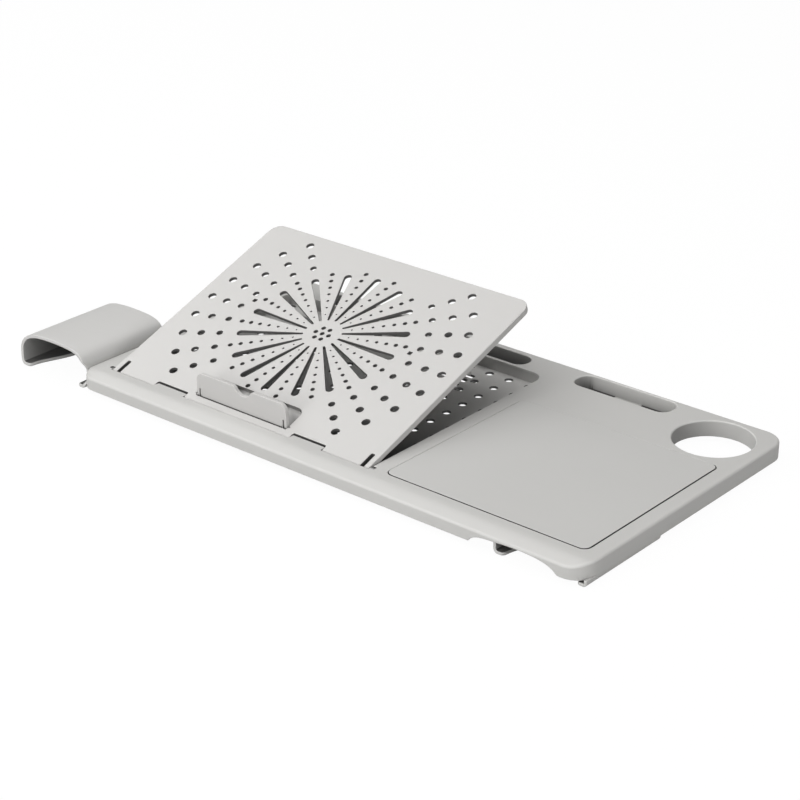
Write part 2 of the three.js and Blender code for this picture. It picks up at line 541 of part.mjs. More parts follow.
// Laptop panel, flat, with its hinge axis at the origin: y runs up the slope, z out of its top face.
function laptopPanel() {
  const half = PANEL_THICK / 2;
  const top = half;
  const yOf = (s) => s - half;
  const backEdge = yOf(PANEL_LENGTH);
  const plate = roundedRect(0, 0, PANEL_WIDTH, backEdge, [0, 0, PANEL_CORNER, PANEL_CORNER]);
  const centreY = yOf(ROSETTE_S);
  for (let k = 0; k < SPOKES; k += 1) {
    const a = 2 * Math.PI * k / SPOKES;
    const along = [Math.cos(a), Math.sin(a)];
    const across = [-along[1], along[0]];
    const at = (r, w) => [ROSETTE_X + along[0] * r + across[0] * w, centreY + along[1] * r + across[1] * w];
    const endRadius = SPOKE_OUTER_WIDTH / 2;
    const ring = [at(SPOKE_INNER, -SPOKE_INNER_WIDTH / 2)];
    for (const t of steps(-90, 90, 5)) {
      const b = t * Math.PI / 180;
      ring.push(at(SPOKE_OUTER - endRadius + endRadius * Math.cos(b), endRadius * Math.sin(b)));
    }
    ring.push(at(SPOKE_INNER, SPOKE_INNER_WIDTH / 2));
    const path = new THREE.Path(ring.map(([x, y]) => new THREE.Vector2(x, y)));
    path.closePath();
    plate.holes.push(path);
    const lineAngle = a + Math.PI / SPOKES;
    for (let i = 0; i < DOTS_PER_LINE; i += 1) {
      const r = DOT_FIRST + DOT_STEP * i;
      const radius = DOT_FIRST_RADIUS + (DOT_LAST_RADIUS - DOT_FIRST_RADIUS) * i / (DOTS_PER_LINE - 1);
      plate.holes.push(circlePath(
        ROSETTE_X + r * Math.cos(lineAngle), centreY + r * Math.sin(lineAngle), radius, 6, lineAngle));
    }
  }
  for (const side of [0, Math.PI]) {
    for (let row = 0; row < RING_ROWS; row += 1) {
      const a = side + (row - (RING_ROWS - 1) / 2) * Math.PI / SPOKES;
      RING_RADII.forEach((r, i) => plate.holes.push(circlePath(
        ROSETTE_X + r * Math.cos(a), centreY + r * Math.sin(a), RING_HOLE_RADII[i], 10, a)));
    }
  }
  plate.holes.push(circlePath(ROSETTE_X, centreY, VENT_RADIUS, 10));
  for (let k = 0; k < 6; k += 1) {
    const a = Math.PI * k / 3;
    plate.holes.push(circlePath(
      ROSETTE_X + VENT_RING * Math.cos(a), centreY + VENT_RING * Math.sin(a), VENT_RADIUS, 10));
  }
  let body = prismZ(plate, top - PANEL_PLATE, top, 5);

  // Rim below the plate, rounded along the hinge edge
  const rim = prismZ(roundedRect(0, 0, PANEL_WIDTH, backEdge, [0, 0, PANEL_CORNER, PANEL_CORNER]), -half, top - 1, 5)
    .subtract(prismZ(roundedRect(PANEL_RIM, 5.2, PANEL_WIDTH - PANEL_RIM, backEdge - PANEL_RIM,
      [1, 1, PANEL_CORNER - PANEL_RIM, PANEL_CORNER - PANEL_RIM]), -half - 1, top, 5));
  body = body.add(rim).add(barX(0, PANEL_WIDTH, 0, 0, half, 16));

  // Tub for the stop
  const stopLeft = STOP_CENTRE - STOP_WIDTH / 2;
  const stopRight = STOP_CENTRE + STOP_WIDTH / 2;
  const tubFront = yOf(STOP_AXIS_S - STOP_THICK / 2 - 0.6);
  const tubBack = yOf(STOP_AXIS_S + STOP_LENGTH + 0.8);
  body = body.add(box(stopLeft - 3.6, stopRight + 3.6, tubFront - 2.4, tubBack + 2, -half, top - 1));
  body = body.subtract(prismZ(roundedRect(
    stopLeft - 0.8, tubFront, stopRight + 0.8, tubBack, [0.5, 0.5, STOP_CORNER, STOP_CORNER]), top - 4.8, top + 1, 4));
  body = body.subtract(barX(stopLeft - 2.6, stopRight + 2.6, yOf(STOP_AXIS_S), top + STOP_AXIS_W, STOP_PIN_RADIUS + 0.3, 12));

  // Notches for the tray's tabs, and slits that let the corners spring in over the hinge pins
  for (const x of TAB_STARTS) {
    body = body.subtract(box(x - 0.6, x + TAB_WIDTH + 0.6, -half - 1, yOf(7.4), -half - 1, top + 1));
  }
  for (const x of [FLEX_SLIT_INSET, PANEL_WIDTH - FLEX_SLIT_INSET - FLEX_SLIT_WIDTH]) {
    body = body.subtract(box(x, x + FLEX_SLIT_WIDTH, -half - 1, yOf(FLEX_SLIT_LENGTH), -half - 1, top + 1));
  }
  body = body.add(barX(RECESS_LEFT - HINGE_PIN_REACH + 1.6, 1, 0, 0, HINGE_PIN_RADIUS, 12));
  body = body.add(barX(PANEL_WIDTH - 1, RECESS_RIGHT + HINGE_PIN_REACH - 1.6, 0, 0, HINGE_PIN_RADIUS, 12));

  // Lugs for the prop, one each side of each arm
  const lugY = yOf(PROP_AXIS_S);
  const lugZ = top + PROP_AXIS_W;
  for (const x of PROP_ARMS) {
    for (const side of [-1, 1]) {
      const near = x + side * (PROP_ARM_WIDTH / 2 + 0.5);
      const far = near + side * 4;
      const [a, b] = [Math.min(near, far), Math.max(near, far)];
      const lug = box(a, b, lugY - 3.2, lugY + 3.2, lugZ, top - PANEL_PLATE + 0.5).add(barX(a, b, lugY, lugZ, 3.2, 12));
      body = body.add(lug.subtract(barX(a - 1, b + 1, lugY, lugZ, PROP_PIN_RADIUS + 0.3, 12)));
    }
  }
  return body;
}

// Stop, lying flat with its axis at the origin: y runs to its free edge.
function laptopStop() {
  const half = STOP_THICK / 2;
  const halfWidth = STOP_WIDTH / 2;
  const shape = roundedRect(-halfWidth, 0, halfWidth, STOP_LENGTH, [0, 0, STOP_CORNER, STOP_CORNER]);
  let body = prismZ(shape, -half, half, 5).add(barX(-halfWidth, halfWidth, 0, 0, half, 12));
  const notchCentre = STOP_LENGTH - STOP_NOTCH_DEPTH + STOP_NOTCH_RADIUS;
  body = body.subtract(barZ(STOP_NOTCH_OFFSET, notchCentre, STOP_NOTCH_RADIUS, -half - 1, half + 1, 24));
  for (const x of [-halfWidth + STOP_SLIT_INSET, halfWidth - STOP_SLIT_INSET - STOP_SLIT_WIDTH]) {
    body = body.subtract(box(x, x + STOP_SLIT_WIDTH, -half - 1, STOP_SLIT_LENGTH, -half - 1, half + 1));
  }
  body = body.add(barX(-halfWidth - 2.2, -halfWidth + 1, 0, 0, STOP_PIN_RADIUS, 10));
  body = body.add(barX(halfWidth - 1, halfWidth + 2.2, 0, 0, STOP_PIN_RADIUS, 10));
  return body;
}

// Prop, lying flat with its axis at the origin: y runs to its feet.
function propLeg() {
  const half = PROP_THICK / 2;
  const tip = PROP_REACH;
  const [left, right] = PROP_ARMS;
  let body = box(left, right, 70, 82, -half, half);
  body = body.add(box(left, right, 24, 34, -half, half));
  for (const x of PROP_ARMS) {
    body = body.add(box(x - PROP_ARM_WIDTH / 2, x + PROP_ARM_WIDTH / 2, 0, tip - 4, -half, half));
    body = body.add(barX(x - PROP_ARM_WIDTH / 2, x + PROP_ARM_WIDTH / 2, 0, 0, half, 12));
    body = body.add(box(x - PROP_FOOT_WIDTH / 2, x + PROP_FOOT_WIDTH / 2, tip - 10, tip, -half, half));
    body = body.add(barX(x - PROP_FOOT_WIDTH / 2, x + PROP_FOOT_WIDTH / 2, tip, 0, half, 12));
    body = body.add(barX(x - PROP_ARM_WIDTH / 2 - 3.6, x + PROP_ARM_WIDTH / 2 + 3.6, 0, 0, PROP_PIN_RADIUS, 10));
  }
  return body;
}

// Arm hook: one bent section that wraps an armrest pad, with tongue-shaped lips below.
function armHook() {
  const line = [
    [HOOK_OUTER + HOOK_LIP_WIDE, HOOK_BOTTOM], ...arc(HOOK_OUTER + 6, HOOK_BOTTOM + 6, 6, 270, 180, 4),
    ...CROWN_LINE.map(([across, up]) => [HOOK_OUTER + across * HOOK_WIDTH, up * HOOK_CROWN]),
    ...arc(HOOK_INNER - 4.5, HOOK_BOTTOM + 4.5, 4.5, 0, -90, 4),
    [HOOK_INNER - HOOK_INNER_LIP_WIDE, HOOK_BOTTOM],
  ];
  let body = prismY(sheetOutline(line, HOOK_SHEET), HOOK_FRONT, HOOK_BACK);
  const ys = steps(HOOK_FRONT - 1, HOOK_BACK + 1, 14);
  const between = polygon([
    ...ys.map((y) => [
      HOOK_INNER - tongue(y, HOOK_FRONT, HOOK_BACK, HOOK_INNER_LIP_NARROW, HOOK_INNER_LIP_WIDE), y]),
    ...ys.reverse().map((y) => [
      HOOK_OUTER + tongue(y, HOOK_FRONT, HOOK_BACK, HOOK_LIP_NARROW, HOOK_LIP_WIDE), y])]);
  body = body.subtract(prismZ(between, HOOK_BOTTOM - 1, HOOK_BOTTOM + HOOK_SHEET + 1.5));
  body = body.subtract(box(
    HOOK_INNER - HOOK_SHEET - 1, HOOK_INNER + 1, PLATE_FRONT - 0.5, PLATE_BACK + 0.5, PLATE_BOTTOM - 0.4, PLATE_TOP + 0.3));
  for (const [x, y] of plateScrewPoints()) body = body.subtract(screwHole(x, y, HOOK_BOTTOM + 1.9, 4));
  return body;
}

// Plate that carries the arm hook and slides under the tray.
function slidePlate() {
  let body = prismZ(roundedRect(PLATE_LEFT, PLATE_FRONT, PLATE_RIGHT, PLATE_BACK, [2, 8, 8, 2]), PLATE_BOTTOM, PLATE_TOP, 3);
  for (const [x, y] of plateScrewPoints()) {
    body = body.subtract(barZ(x, y, SCREW_SHANK_RADIUS + SCREW_CLEARANCE, PLATE_BOTTOM - 1, PLATE_TOP - 0.6, 8));
  }
  return body;
}

// Guide rail with a foot under the sliding plate; side is -1 for the front rail and 1 for the rear one.
function guideRail(side) {
  const edge = side < 0 ? PLATE_FRONT - 0.4 : PLATE_BACK + 0.4;
  const outer = edge + side * 6.0;
  const foot = edge - side * 5.4;
  const span = (a, b) => [Math.min(a, b), Math.max(a, b)];
  let body = box(RAIL_LEFT, RAIL_RIGHT, ...span(edge, outer), RAIL_BOTTOM, FLOOR_BOTTOM - 0.3);
  body = body.add(box(RAIL_LEFT, RAIL_RIGHT, ...span(foot, outer), RAIL_BOTTOM, PLATE_BOTTOM - 0.4));
  for (const [x, y] of railScrewPoints()) {
    if (Math.sign(y - 39) === side) body = body.subtract(screwHole(x, y, RAIL_BOTTOM + 1.8, 8));
  }
  return body;
}

// Inner hook of the right-hand armrest channel, screwed up under the tray.
function innerArmHook() {
  const x = INNER_HOOK_X;
  const top = INNER_HOOK_TOP;
  const line = polygon([
    [x - INNER_HOOK_FLANGE, top], [x - INNER_HOOK_FLANGE, top - INNER_HOOK_SHEET], [x, top - INNER_HOOK_SHEET],
    [x, LIP_BOTTOM + 5],
    ...arc(x + 5, LIP_BOTTOM + 5, 5, 180, 270, 4).slice(1), [x + INNER_HOOK_LIP_WIDE, LIP_BOTTOM],
    [x + INNER_HOOK_LIP_WIDE, LIP_BOTTOM + LIP_SHEET], [x + 5, LIP_BOTTOM + LIP_SHEET],
    [x + LIP_SHEET, LIP_BOTTOM + 5], [x + LIP_SHEET, top]]);
  let body = prismY(line, INNER_HOOK_FRONT, INNER_HOOK_BACK);
  const ys = steps(INNER_HOOK_FRONT - 1, INNER_HOOK_BACK + 1, 12);
  const beyond = polygon([
    [x + 40, INNER_HOOK_FRONT - 1], [x + 40, INNER_HOOK_BACK + 1],
    ...ys.reverse().map((y) => [
      x + tongue(y, INNER_HOOK_FRONT, INNER_HOOK_BACK, INNER_HOOK_LIP_NARROW, INNER_HOOK_LIP_WIDE), y])]);
  body = body.subtract(prismZ(beyond, LIP_BOTTOM - 1, LIP_BOTTOM + LIP_SHEET + 1));
  body = body.subtract(box(x - 30, x - 0.01, INNER_HOOK_FRONT - 1, -9, top - 10, top + 1));
  for (const [sx, sy] of hookScrewPoints()) {
    body = body.subtract(barZ(sx, sy, SCREW_SHANK_RADIUS + SCREW_CLEARANCE, top - 6, top + 2, 8));
  }
  return body;
}

const shellPlastic = new THREE.MeshStandardMaterial({ color: 0xbebdbb, roughness: 0.55, metalness: 0 });
const panelPlastic = new THREE.MeshStandardMaterial({ color: 0xd6d4d2, roughness: 0.55, metalness: 0 });
const padPlastic = new THREE.MeshStandardMaterial({ color: 0xbdbcba, roughness: 0.62, metalness: 0 });
const hookPlastic = new THREE.MeshStandardMaterial({ color: 0xc9c8c5, roughness: 0.55, metalness: 0 });
const innerPlastic = new THREE.MeshStandardMaterial({ color: 0xb4b3b0, roughness: 0.6, metalness: 0 });
const screwSteel = new THREE.MeshStandardMaterial({ color: 0x9a9a9a, roughness: 0.35, metalness: 1 });

function part(name, body, material) {
  const mesh = new THREE.Mesh(geometryOf(body), material);
  mesh.name = name;
  return mesh;
}

const tray = new THREE.Group();
tray.name = 'chair_laptop_tray';
const placed = new THREE.Group();
placed.position.set(-ORIGIN_X, -ORIGIN_Y, -ORIGIN_Z);
tray.add(placed);

placed.add(part('tray_shell', trayShell(), shellPlastic));
placed.add(part('mouse_pad', mousePad(), padPlastic));
placed.add(part('arm_hook', armHook(), hookPlastic));
placed.add(part('slide_plate', slidePlate(), innerPlastic));
placed.add(part('guide_rail_front', guideRail(-1), innerPlastic));
placed.add(part('guide_rail_rear', guideRail(1), innerPlastic));
placed.add(part('inner_arm_hook', innerArmHook(), hookPlastic));

// The panel turns on its hinge axis; the stop and the prop turn on axes of their own within it.
const panelTop = PANEL_THICK / 2;
const hinge = new THREE.Group();
hinge.position.set(0, HINGE_Y, HINGE_Z);
hinge.rotation.x = PANEL_TILT;
hinge.add(part('laptop_panel', laptopPanel(), panelPlastic));
const stopHinge = new THREE.Group();
stopHinge.position.set(STOP_CENTRE, STOP_AXIS_S - panelTop, panelTop + STOP_AXIS_W);
stopHinge.rotation.x = STOP_OPEN;
stopHinge.add(part('laptop_stop', laptopStop(), panelPlastic));
hinge.add(stopHinge);

const propHinge = new THREE.Group();
propHinge.position.set(0, PROP_AT_Y, PROP_AT_Z);
propHinge.rotation.x = -(PANEL_TILT + PROP_LEAN);
propHinge.add(part('prop_leg', propLeg(), panelPlastic));
hinge.add(propHinge);
placed.add(hinge);

const names = ['left', 'middle', 'right'];
railScrewPoints().forEach(([x, y], i) => placed.add(part(
  `rail_screw_${i < 3 ? 'front' : 'rear'}_${names[i % 3]}`, screw(x, y, RAIL_BOTTOM + 1.8 - 0.2, 4.9), screwSteel)));
plateScrewPoints().forEach(([x, y], i) => placed.add(part(
  `plate_screw_${['front', 'middle', 'rear'][i]}`, screw(x, y, HOOK_BOTTOM + 1.9 - 0.2, 3.9), screwSteel)));
hookScrewPoints().forEach(([x, y], i) => placed.add(part(
  `hook_screw_${['front', 'middle', 'rear'][i]}`, screw(x, y, INNER_HOOK_TOP - INNER_HOOK_SHEET - 0.25, 7.2), screwSteel)));

export default tray;
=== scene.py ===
import math

import bmesh
import bpy
import numpy as np
from bpy.props import FloatProperty, FloatVectorProperty, PointerProperty
from mathutils import Matrix, Vector
from mathutils.geometry import delaunay_2d_cdt


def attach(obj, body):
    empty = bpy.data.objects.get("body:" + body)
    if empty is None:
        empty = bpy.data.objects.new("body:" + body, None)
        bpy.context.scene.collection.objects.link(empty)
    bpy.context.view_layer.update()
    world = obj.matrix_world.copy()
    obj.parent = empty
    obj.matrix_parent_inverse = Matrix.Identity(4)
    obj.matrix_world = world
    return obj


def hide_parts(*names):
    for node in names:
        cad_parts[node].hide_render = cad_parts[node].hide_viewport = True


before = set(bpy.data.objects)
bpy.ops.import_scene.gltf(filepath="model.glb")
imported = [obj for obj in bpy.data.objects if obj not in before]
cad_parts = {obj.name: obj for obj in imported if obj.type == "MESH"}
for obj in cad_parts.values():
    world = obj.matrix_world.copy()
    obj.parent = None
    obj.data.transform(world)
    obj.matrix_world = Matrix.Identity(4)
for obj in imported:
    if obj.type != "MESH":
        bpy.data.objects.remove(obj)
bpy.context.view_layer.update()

bl_info = {
    "name": "Chair laptop tray",
    "version": (1, 0, 0),
    "blender": (4, 5, 0),
    "location": "View3D > Sidebar > Tray",
    "description": "Dresses the packed frame of a chair laptop tray with moulded surfaces and finishes",
    "category": "Object",
}

# Sizes below are millimetres about a datum at the left end of the panel's hinge edge, on the tray top.
# Boxes are given as left, front, right and back.
ORIGIN = np.array([240.8, 138.4, -22.0])

# Tray body
TRAY_LEFT = -21.5
TRAY_RIGHT = 599.6
TRAY_FRONT = -25.3
TRAY_BACK = 302.1
TRAY_DEPTH = 16.85
TRAY_WALL = 2.8
TRAY_SKIN = 2.8
SKIRT_FOOT = 0.8
CORNER_RIGHT = 23.0
CORNER_LEFT = 16.0
SLOPE_START = -8.0
SLOPE_BEND = 8.0
SLOPE_FALL = 0.33
CHEEK = (-1.5, 8.0, -9.0)
RIB_WIDTH = 2.0
RIB_BACK = 268.5
RIB_BOTTOM = -14.0
RIBS_ACROSS = (112.0, 208.0)
RIBS_ALONG = (412.0, 464.0)
FLOOR_RIBS = (64.0, 274.0)

# Recess under the panel
RECESS = (-1.2, -1.2, 341.2, 266.7)
RECESS_CORNER = 15.0
RECESS_EDGE = 0.4
FLOOR_TOP = -12.4
FLOOR_BOTTOM = -14.6
TUB_WALL = 2.2
FLOOR_HOLE = 4.4
FLOOR_DRAFT = 1.0
FLOOR_PITCH = 24.8
FLOOR_FIRST = (5.7, 9.3)
FLOOR_COUNT = (14, 11)
FLOOR_SHADE = (30.0, 235.0)
TAB_STARTS = (60.0, 241.5)
TAB_WIDTH = 40.5
TAB_REACH = 5.8
TAB_DEPTH = 2.6
TAB_GAP = 0.6
TAB_NOTCH = 7.9
SEAT_HALF = 2.3
SEAT_REACH = 4.6
SEAT_DEPTH = 4.9

# Openings of the top
SLOT = (31.5, 270.5, 308.5, 295.0)
SLOT_FLOOR = -14.2
SLOT_ROUND = 1.5
POCKET = (369.0, 270.3, 482.0, 298.0)
POCKET_CORNER = 11.5
POCKET_BROW = -1.5
POCKET_FLOOR = -14.0
POCKET_STEPS = (406.0, 437.7)
POCKET_FOOT = 296.9
POCKET_RISE = 8.6
GROOVE_FLOOR = -15.2
GROOVE_SIDES = (293.2, 296.6)
GROOVE_DRAFT = 0.02
HOLLOW_SHELL = 2.0
CUP = (546.75, 254.7)
CUP_RADIUS = 39.2
CUP_TUBE = 2.6
CUP_FOOT = 0.7
PAD = (357.6, 1.4, 583.2, 209.5)
PAD_GAPS = (0.4, 1.6, 1.6, 0.4)
PAD_CORNER = 8.0
PAD_EDGE = 0.35
PAD_SEAT = -1.7
PAD_GROOVE = -4.0
PAD_LEDGE = 2.6
PAD_SKIN = -4.6
PAD_THICK = 1.5
PAD_TOP = 0.1

# Laptop panel, its hinge axis at its own origin
PANEL_WIDTH = 340.0
PANEL_LENGTH = 258.6
PANEL_THICK = 5.8
PANEL_PLATE = 3.8
PANEL_RIM = 3.6
PANEL_DROP = 1.3
DROP_RUN = (4.0, 34.0)
DROP_SIDES = (108.0, 150.0)
PANEL_CORNER = 13.0
PANEL_TILT = math.radians(19.7)
HINGE = (0.0, 3.2, -2.6)
HINGE_PIN = 1.9
SLIT_INSET = 5.7
SLIT_WIDTH = 4.6
SLIT_LENGTH = 18.5
SLIT_ROUND = 1.7
ROSETTE = (170.0, 134.5)
SPOKES = 16
SPOKE_REACH = (20.5, 92.5)
SPOKE_WIDTH = (2.6, 8.2)
DOT_FIRST = 30.2
DOT_STEP = 10.8
DOTS = 7
DOT_RADII = (0.9, 2.6)
RINGS = ((111.5, 3.5), (132.0, 4.0), (152.5, 4.4))
RING_ROWS = 9
SMALL_RING = 104.0
SMALL_TURNS = np.radians((7.0, 173.0))
SMALL_HALF = 2.3
VENTS = 6
VENT_RING = 8.4
VENT_RADIUS = 2.5

# Stop and prop, each with its own axis on the panel
STOP_CENTRE = 170.5
STOP_WIDTH = 118.6
STOP_THICK = 4.2
STOP_LENGTH = 25.1
STOP_AXIS = (11.6, -2.1)
STOP_OPEN = math.radians(72)
STOP_CORNER = 8.0
STOP_SLIT = (3.0, 1.9, 8.5)
STOP_PIN = 1.1
STOP_FOOT = 1.0
STOP_GAP = 0.8
STOP_FRONT_GAP = 1.2
STOP_POCKET = 4.8
STOP_SEAT = (1.8, 1.4)
NOTCH_RADIUS = 12.0
NOTCH_DEPTH = 7.8
NOTCH_OFFSET = 2.9
PROP_AXIS = (150.0, -8.9)
PROP_LENGTH = 111.0
PROP_THICK = 4.4
PROP_ARMS = (90.0, 254.0)
PROP_ARM = 7.0
PROP_FOOT = 14.0
PROP_ANKLE = 98.8
PROP_BARS = (24.0, 34.0, 70.0, 82.0)
PROP_PIN = 1.5
PROP_PIN_REACH = 10.6
PROP_LEAN = math.radians(28.065)
LUG_RADIUS = 3.2
LUG_HOLE = 1.75
LUG_SIDES = ((-11.5, -7.5), (7.5, 11.5))
FOOT_ROWS = (239.7, 227.4, 213.5)
FOOT_SLOT = np.array([36.0, 7.4])
FOOT_CLEAR = np.array([6.0, 5.5])

# Armrest hooks and what carries them
HOOK_OUTER = -118.0
HOOK_INNER = -21.8
HOOK_ENDS = (-19.0, 93.0)
HOOK_SHEET = 3.5
HOOK_BOTTOM = -22.0
HOOK_CROWN = 18.5
HOOK_BENDS = (6.0, 4.5)
HOOK_SCOOP = 6.0
SCOOP_REACH = 28.0
HOOK_LIP = (13.5, 27.0)
HOOK_INNER_LIP = (11.0, 15.0)
HOOK_CORNERS = (4.0, 3.2)
PLATE = (-34.2, 4.0, 160.0, 74.0)
PLATE_TOP = -15.0
PLATE_BOTTOM = -18.0
RAIL_ENDS = (10.0, 166.0)
RAIL_BOTTOM = -20.4
RAIL_GAP = 0.4
RAIL_FOOT = 6.0
RAIL_LIP = (5.4, 5.0)
LIP_BOTTOM = -21.0
LIP_SHEET = 3.0
INNER_HOOK_X = 501.5
INNER_HOOK_TOP = -7.2
INNER_HOOK_FLANGE = 22.0
FLANGE_FRONT = -9.0
FLANGE_THICK = 2.9
INNER_HOOK_ENDS = (-21.8, 91.0)
INNER_HOOK_LIP = (12.0, 27.0)
INNER_HOOK_BEND = 5.0
INNER_HOOK_CORNER = 4.2
END_LIP_ENDS = (-20.0, 91.0)
END_LIP = (10.5, 22.0)
END_LIP_ROOT = -14.6
END_LIP_BEND = 4.0
END_LIP_CORNER = 3.6
ARCH = (476.0, 572.2)
ARCH_RISE = 9.75

# Screws: their places by the words of their names
SCREW_HEAD = 2.5
SCREW_SHANK = 1.2
SCREW_SUNK = 1.43
SCREW_CLEAR = 9.0
RAIL_SCREWS = {"left": 26.0, "middle": 88.0, "right": 150.0}
RAIL_ROWS = {"front": 0.6, "rear": 77.4}
PLATE_SCREW_X = -29.2
PLATE_SCREWS = {"front": 18.0, "middle": 39.0, "rear": 60.0}
HOOK_SCREW_X = 489.0
HOOK_SCREWS = {"front": 2.0, "middle": 40.0, "rear": 78.0}
HOOK_SCREW_SEAT = 3.15
SCREW_LENGTHS = {"rail": 5.0, "plate": 4.1, "hook": 7.2}
BOSS_RADIUS = 4.2
BOSS_ENDS = (-2.9, -6.9)

# Lamps with place and size in metres and power in watts, and the room's own light and its reflection
LAMPS = {
    "overhead": ((0.0, 0.0, 2.7), 2.2, 30.0),
    "front_high": ((0.0, -1.55, 2.21), 2.0, 15.0),
    "front_low": ((0.0, -2.65, 0.52), 1.4, 36.0),
    "front_left": ((-1.23, -1.46, 1.91), 1.6, 19.0),
    "front_right": ((1.33, -1.58, 1.74), 1.6, 12.0),
    "left": ((-2.07, 0.0, 1.74), 1.6, 21.0),
    "right_low": ((2.61, 0.0, 0.7), 1.4, 18.0),
    "back": ((0.0, 1.35, 2.34), 1.6, 7.0),
}
AMBIENT = 0.02
GLOSS_LIGHT = 0.12
LAMP_AIM = (0.0, 0.0, 0.03)
CAMERA_PLACE = (1.26007, -1.46259, 0.9115)
CAMERA_LENS = 97.386
CAMERA_AZIMUTH = math.radians(40.30)
CAMERA_ELEVATION = math.radians(25.01)


def length_setting(name, description, default, low, high):
    """A length in metres that a user may change."""
    return FloatProperty(
        name=name, description=description, default=default, min=low, max=high, unit="LENGTH")


def colour_setting(name, description, default):
    """A colour that a user may change."""
    return FloatVectorProperty(
        name=name, description=description, default=default, size=3, min=0.0, max=1.0, subtype="COLOR")


class TraySizes(bpy.types.PropertyGroup):
    """Small sizes of the moulded edges, which a user may change."""

    deck_edge: length_setting(
        "Deck edge", "Radius along the outer edge of the tray top", 0.0022, 0.0005, 0.0027)
    opening_edge: length_setting(
        "Opening edge", "Radius round the cup hole, the slot and the pocket", 0.0012, 0.0003, 0.002)
    panel_edge: length_setting("Panel edge", "Radius along the panel's outer edge", 0.0011, 0.0003, 0.0014)
    hole_edge: length_setting("Hole edge", "Radius round the panel's holes", 0.0004, 0.0001, 0.0008)
    hook_edge: length_setting(
        "Hook edge", "Radius along the ends of the armrest hooks", 0.0007, 0.0003, 0.0014)


class TrayColours(bpy.types.PropertyGroup):
    """Colours and gloss of the finishes, which a user may change."""

    shell: colour_setting("Shell", "Plastic of the tray", (0.484, 0.479, 0.465))
    panel: colour_setting("Panel", "Plastic of the panel, stop and prop", (0.495, 0.487, 0.475))
    pad: colour_setting("Mouse surface", "Sheet of the mouse surface", (0.474, 0.47, 0.457))
    hook: colour_setting("Hooks", "Plastic of the armrest hooks", (0.508, 0.503, 0.491))
    inner: colour_setting("Guides", "Plastic of the slide plate and rails", (0.46, 0.455, 0.44))
    screw: colour_setting("Screws", "Plated steel of the screws", (0.62, 0.62, 0.6))
    roughness: FloatProperty(
        name="Roughness", description="Roughness of the plastic", default=0.48,
        min=0.0, max=1.0, subtype="FACTOR")


class Surface:
    """Rows of points and faces, in millimetres about the datum, gathered into one mesh. Each point has a
    mark: above 0 on an edge that gets rubbed, below 0 where painted shade darkens a gap or hollow."""

    def __init__(self):
        self.points = []
        self.edges = []
        self.faces = []
        self.count = 0

    def add(self, points, faces, edge=0.0):
        """Joins points, with their marks, and faces to the surface."""
        points = np.asarray(points, float).reshape(-1, 3)
        self.points.append(points)
        self.edges.append(np.broadcast_to(np.asarray(edge, float).ravel(), len(points)))
        self.faces.extend((np.asarray(faces, int) + self.count).tolist())
        self.count += len(points)

    def grid(self, points, edge=0.0):
        """Quads between closed rows of points, with one mark for all, for each row or for each point."""
        index = np.arange(points[..., 0].size).reshape(points.shape[:2])
        index = np.hstack([index, index[:, :1]])
        quads = np.stack([index[:-1, :-1], index[:-1, 1:], index[1:, 1:], index[1:, :-1]], -1)
        marks = np.asarray(edge, float)
        marks = marks[:, None] if marks.ndim == 1 else marks
        self.add(points, quads.reshape(-1, 4), np.broadcast_to(marks, points.shape[:2]))

    def rim(self, loop, rows, into, edge=0.0):
        """Joins a profile carried round a loop, and returns its rows of points."""
        points = carry(loop, rows, into)
        self.grid(points, edge)
        return points

    def fill(self, loops, height, extra=None, edge=0.0):
        """Triangles inside the first loop and outside the others, each point at height(x, y)."""
        sizes = [len(loop) for loop in loops]
        starts = np.cumsum([0] + sizes[:-1])
        flat = np.vstack([loop[:, :2] for loop in loops])
        after = np.concatenate([start + np.roll(np.arange(size), -1) for start, size in zip(starts, sizes)])
        borders = np.stack([np.arange(len(flat)), after], -1)
        points = flat if extra is None else np.vstack([flat, extra])
        found = delaunay_2d_cdt(
            [Vector(p) for p in points.tolist()], borders.tolist(), [], 0, 1e-7)
        corners = np.array([tuple(v) for v in found[0]])
        faces = np.array(found[2])
        kept = faces[inside(corners[faces].mean(1), flat, flat[after])]
        heights = height(*corners.T) if callable(height) else np.full(len(corners), height)
        points = np.column_stack([corners, heights])
        self.add(points, kept, edge(points) if callable(edge) else edge)

    def shaded(self, shade):
        """The same surface with the painted shade of shade(points), where it is below 0, over its own marks.
        """
        self.edges = [np.where(shade(p) < 0, shade(p), e) for p, e in zip(self.points, self.edges)]
        return self

    def take(self, other, place=None):
        """Joins another surface, moved by place(points) where that is given."""
        points = np.vstack(other.points)
        self.points.append(points if place is None else place(points))
        self.edges.append(np.concatenate(other.edges))
        self.faces.extend([[i + self.count for i in face] for face in other.faces])
        self.count += len(points)

    def piece(self, name, place=None):
        """A Blender mesh object from the surface: seams welded, faces turned out, normals by face area."""
        points = np.vstack(self.points)
        if place is not None:
            points = place(points)
        mesh = bpy.data.meshes.new(name)
        mesh.from_pydata(((points - ORIGIN) / 1000).tolist(), [], self.faces)
        # The edge attribute holds each point's mark: rubbed wear above 0, painted shade below 0.
        mark = mesh.attributes.new("edge", "FLOAT", "POINT")
        mark.data.foreach_set("value", np.concatenate(self.edges).astype(np.float32))
        work = bmesh.new()
        work.from_mesh(mesh)
        bmesh.ops.remove_doubles(work, verts=work.verts, dist=2e-6)
        bmesh.ops.dissolve_degenerate(work, edges=work.edges, dist=2e-6)
        bmesh.ops.recalc_face_normals(work, faces=work.faces)
        work.to_mesh(mesh)
        work.free()
        mesh.polygons.foreach_set("use_smooth", np.ones(len(mesh.polygons), bool))
        mesh.set_sharp_from_angle(angle=math.radians(38))
        made = bpy.data.objects.new(name, mesh)
        bpy.context.scene.collection.objects.link(made)
        weigh = made.modifiers.new("Flat faces first", "WEIGHTED_NORMAL")
        weigh.keep_sharp = True
        weigh.weight = 90
        return made


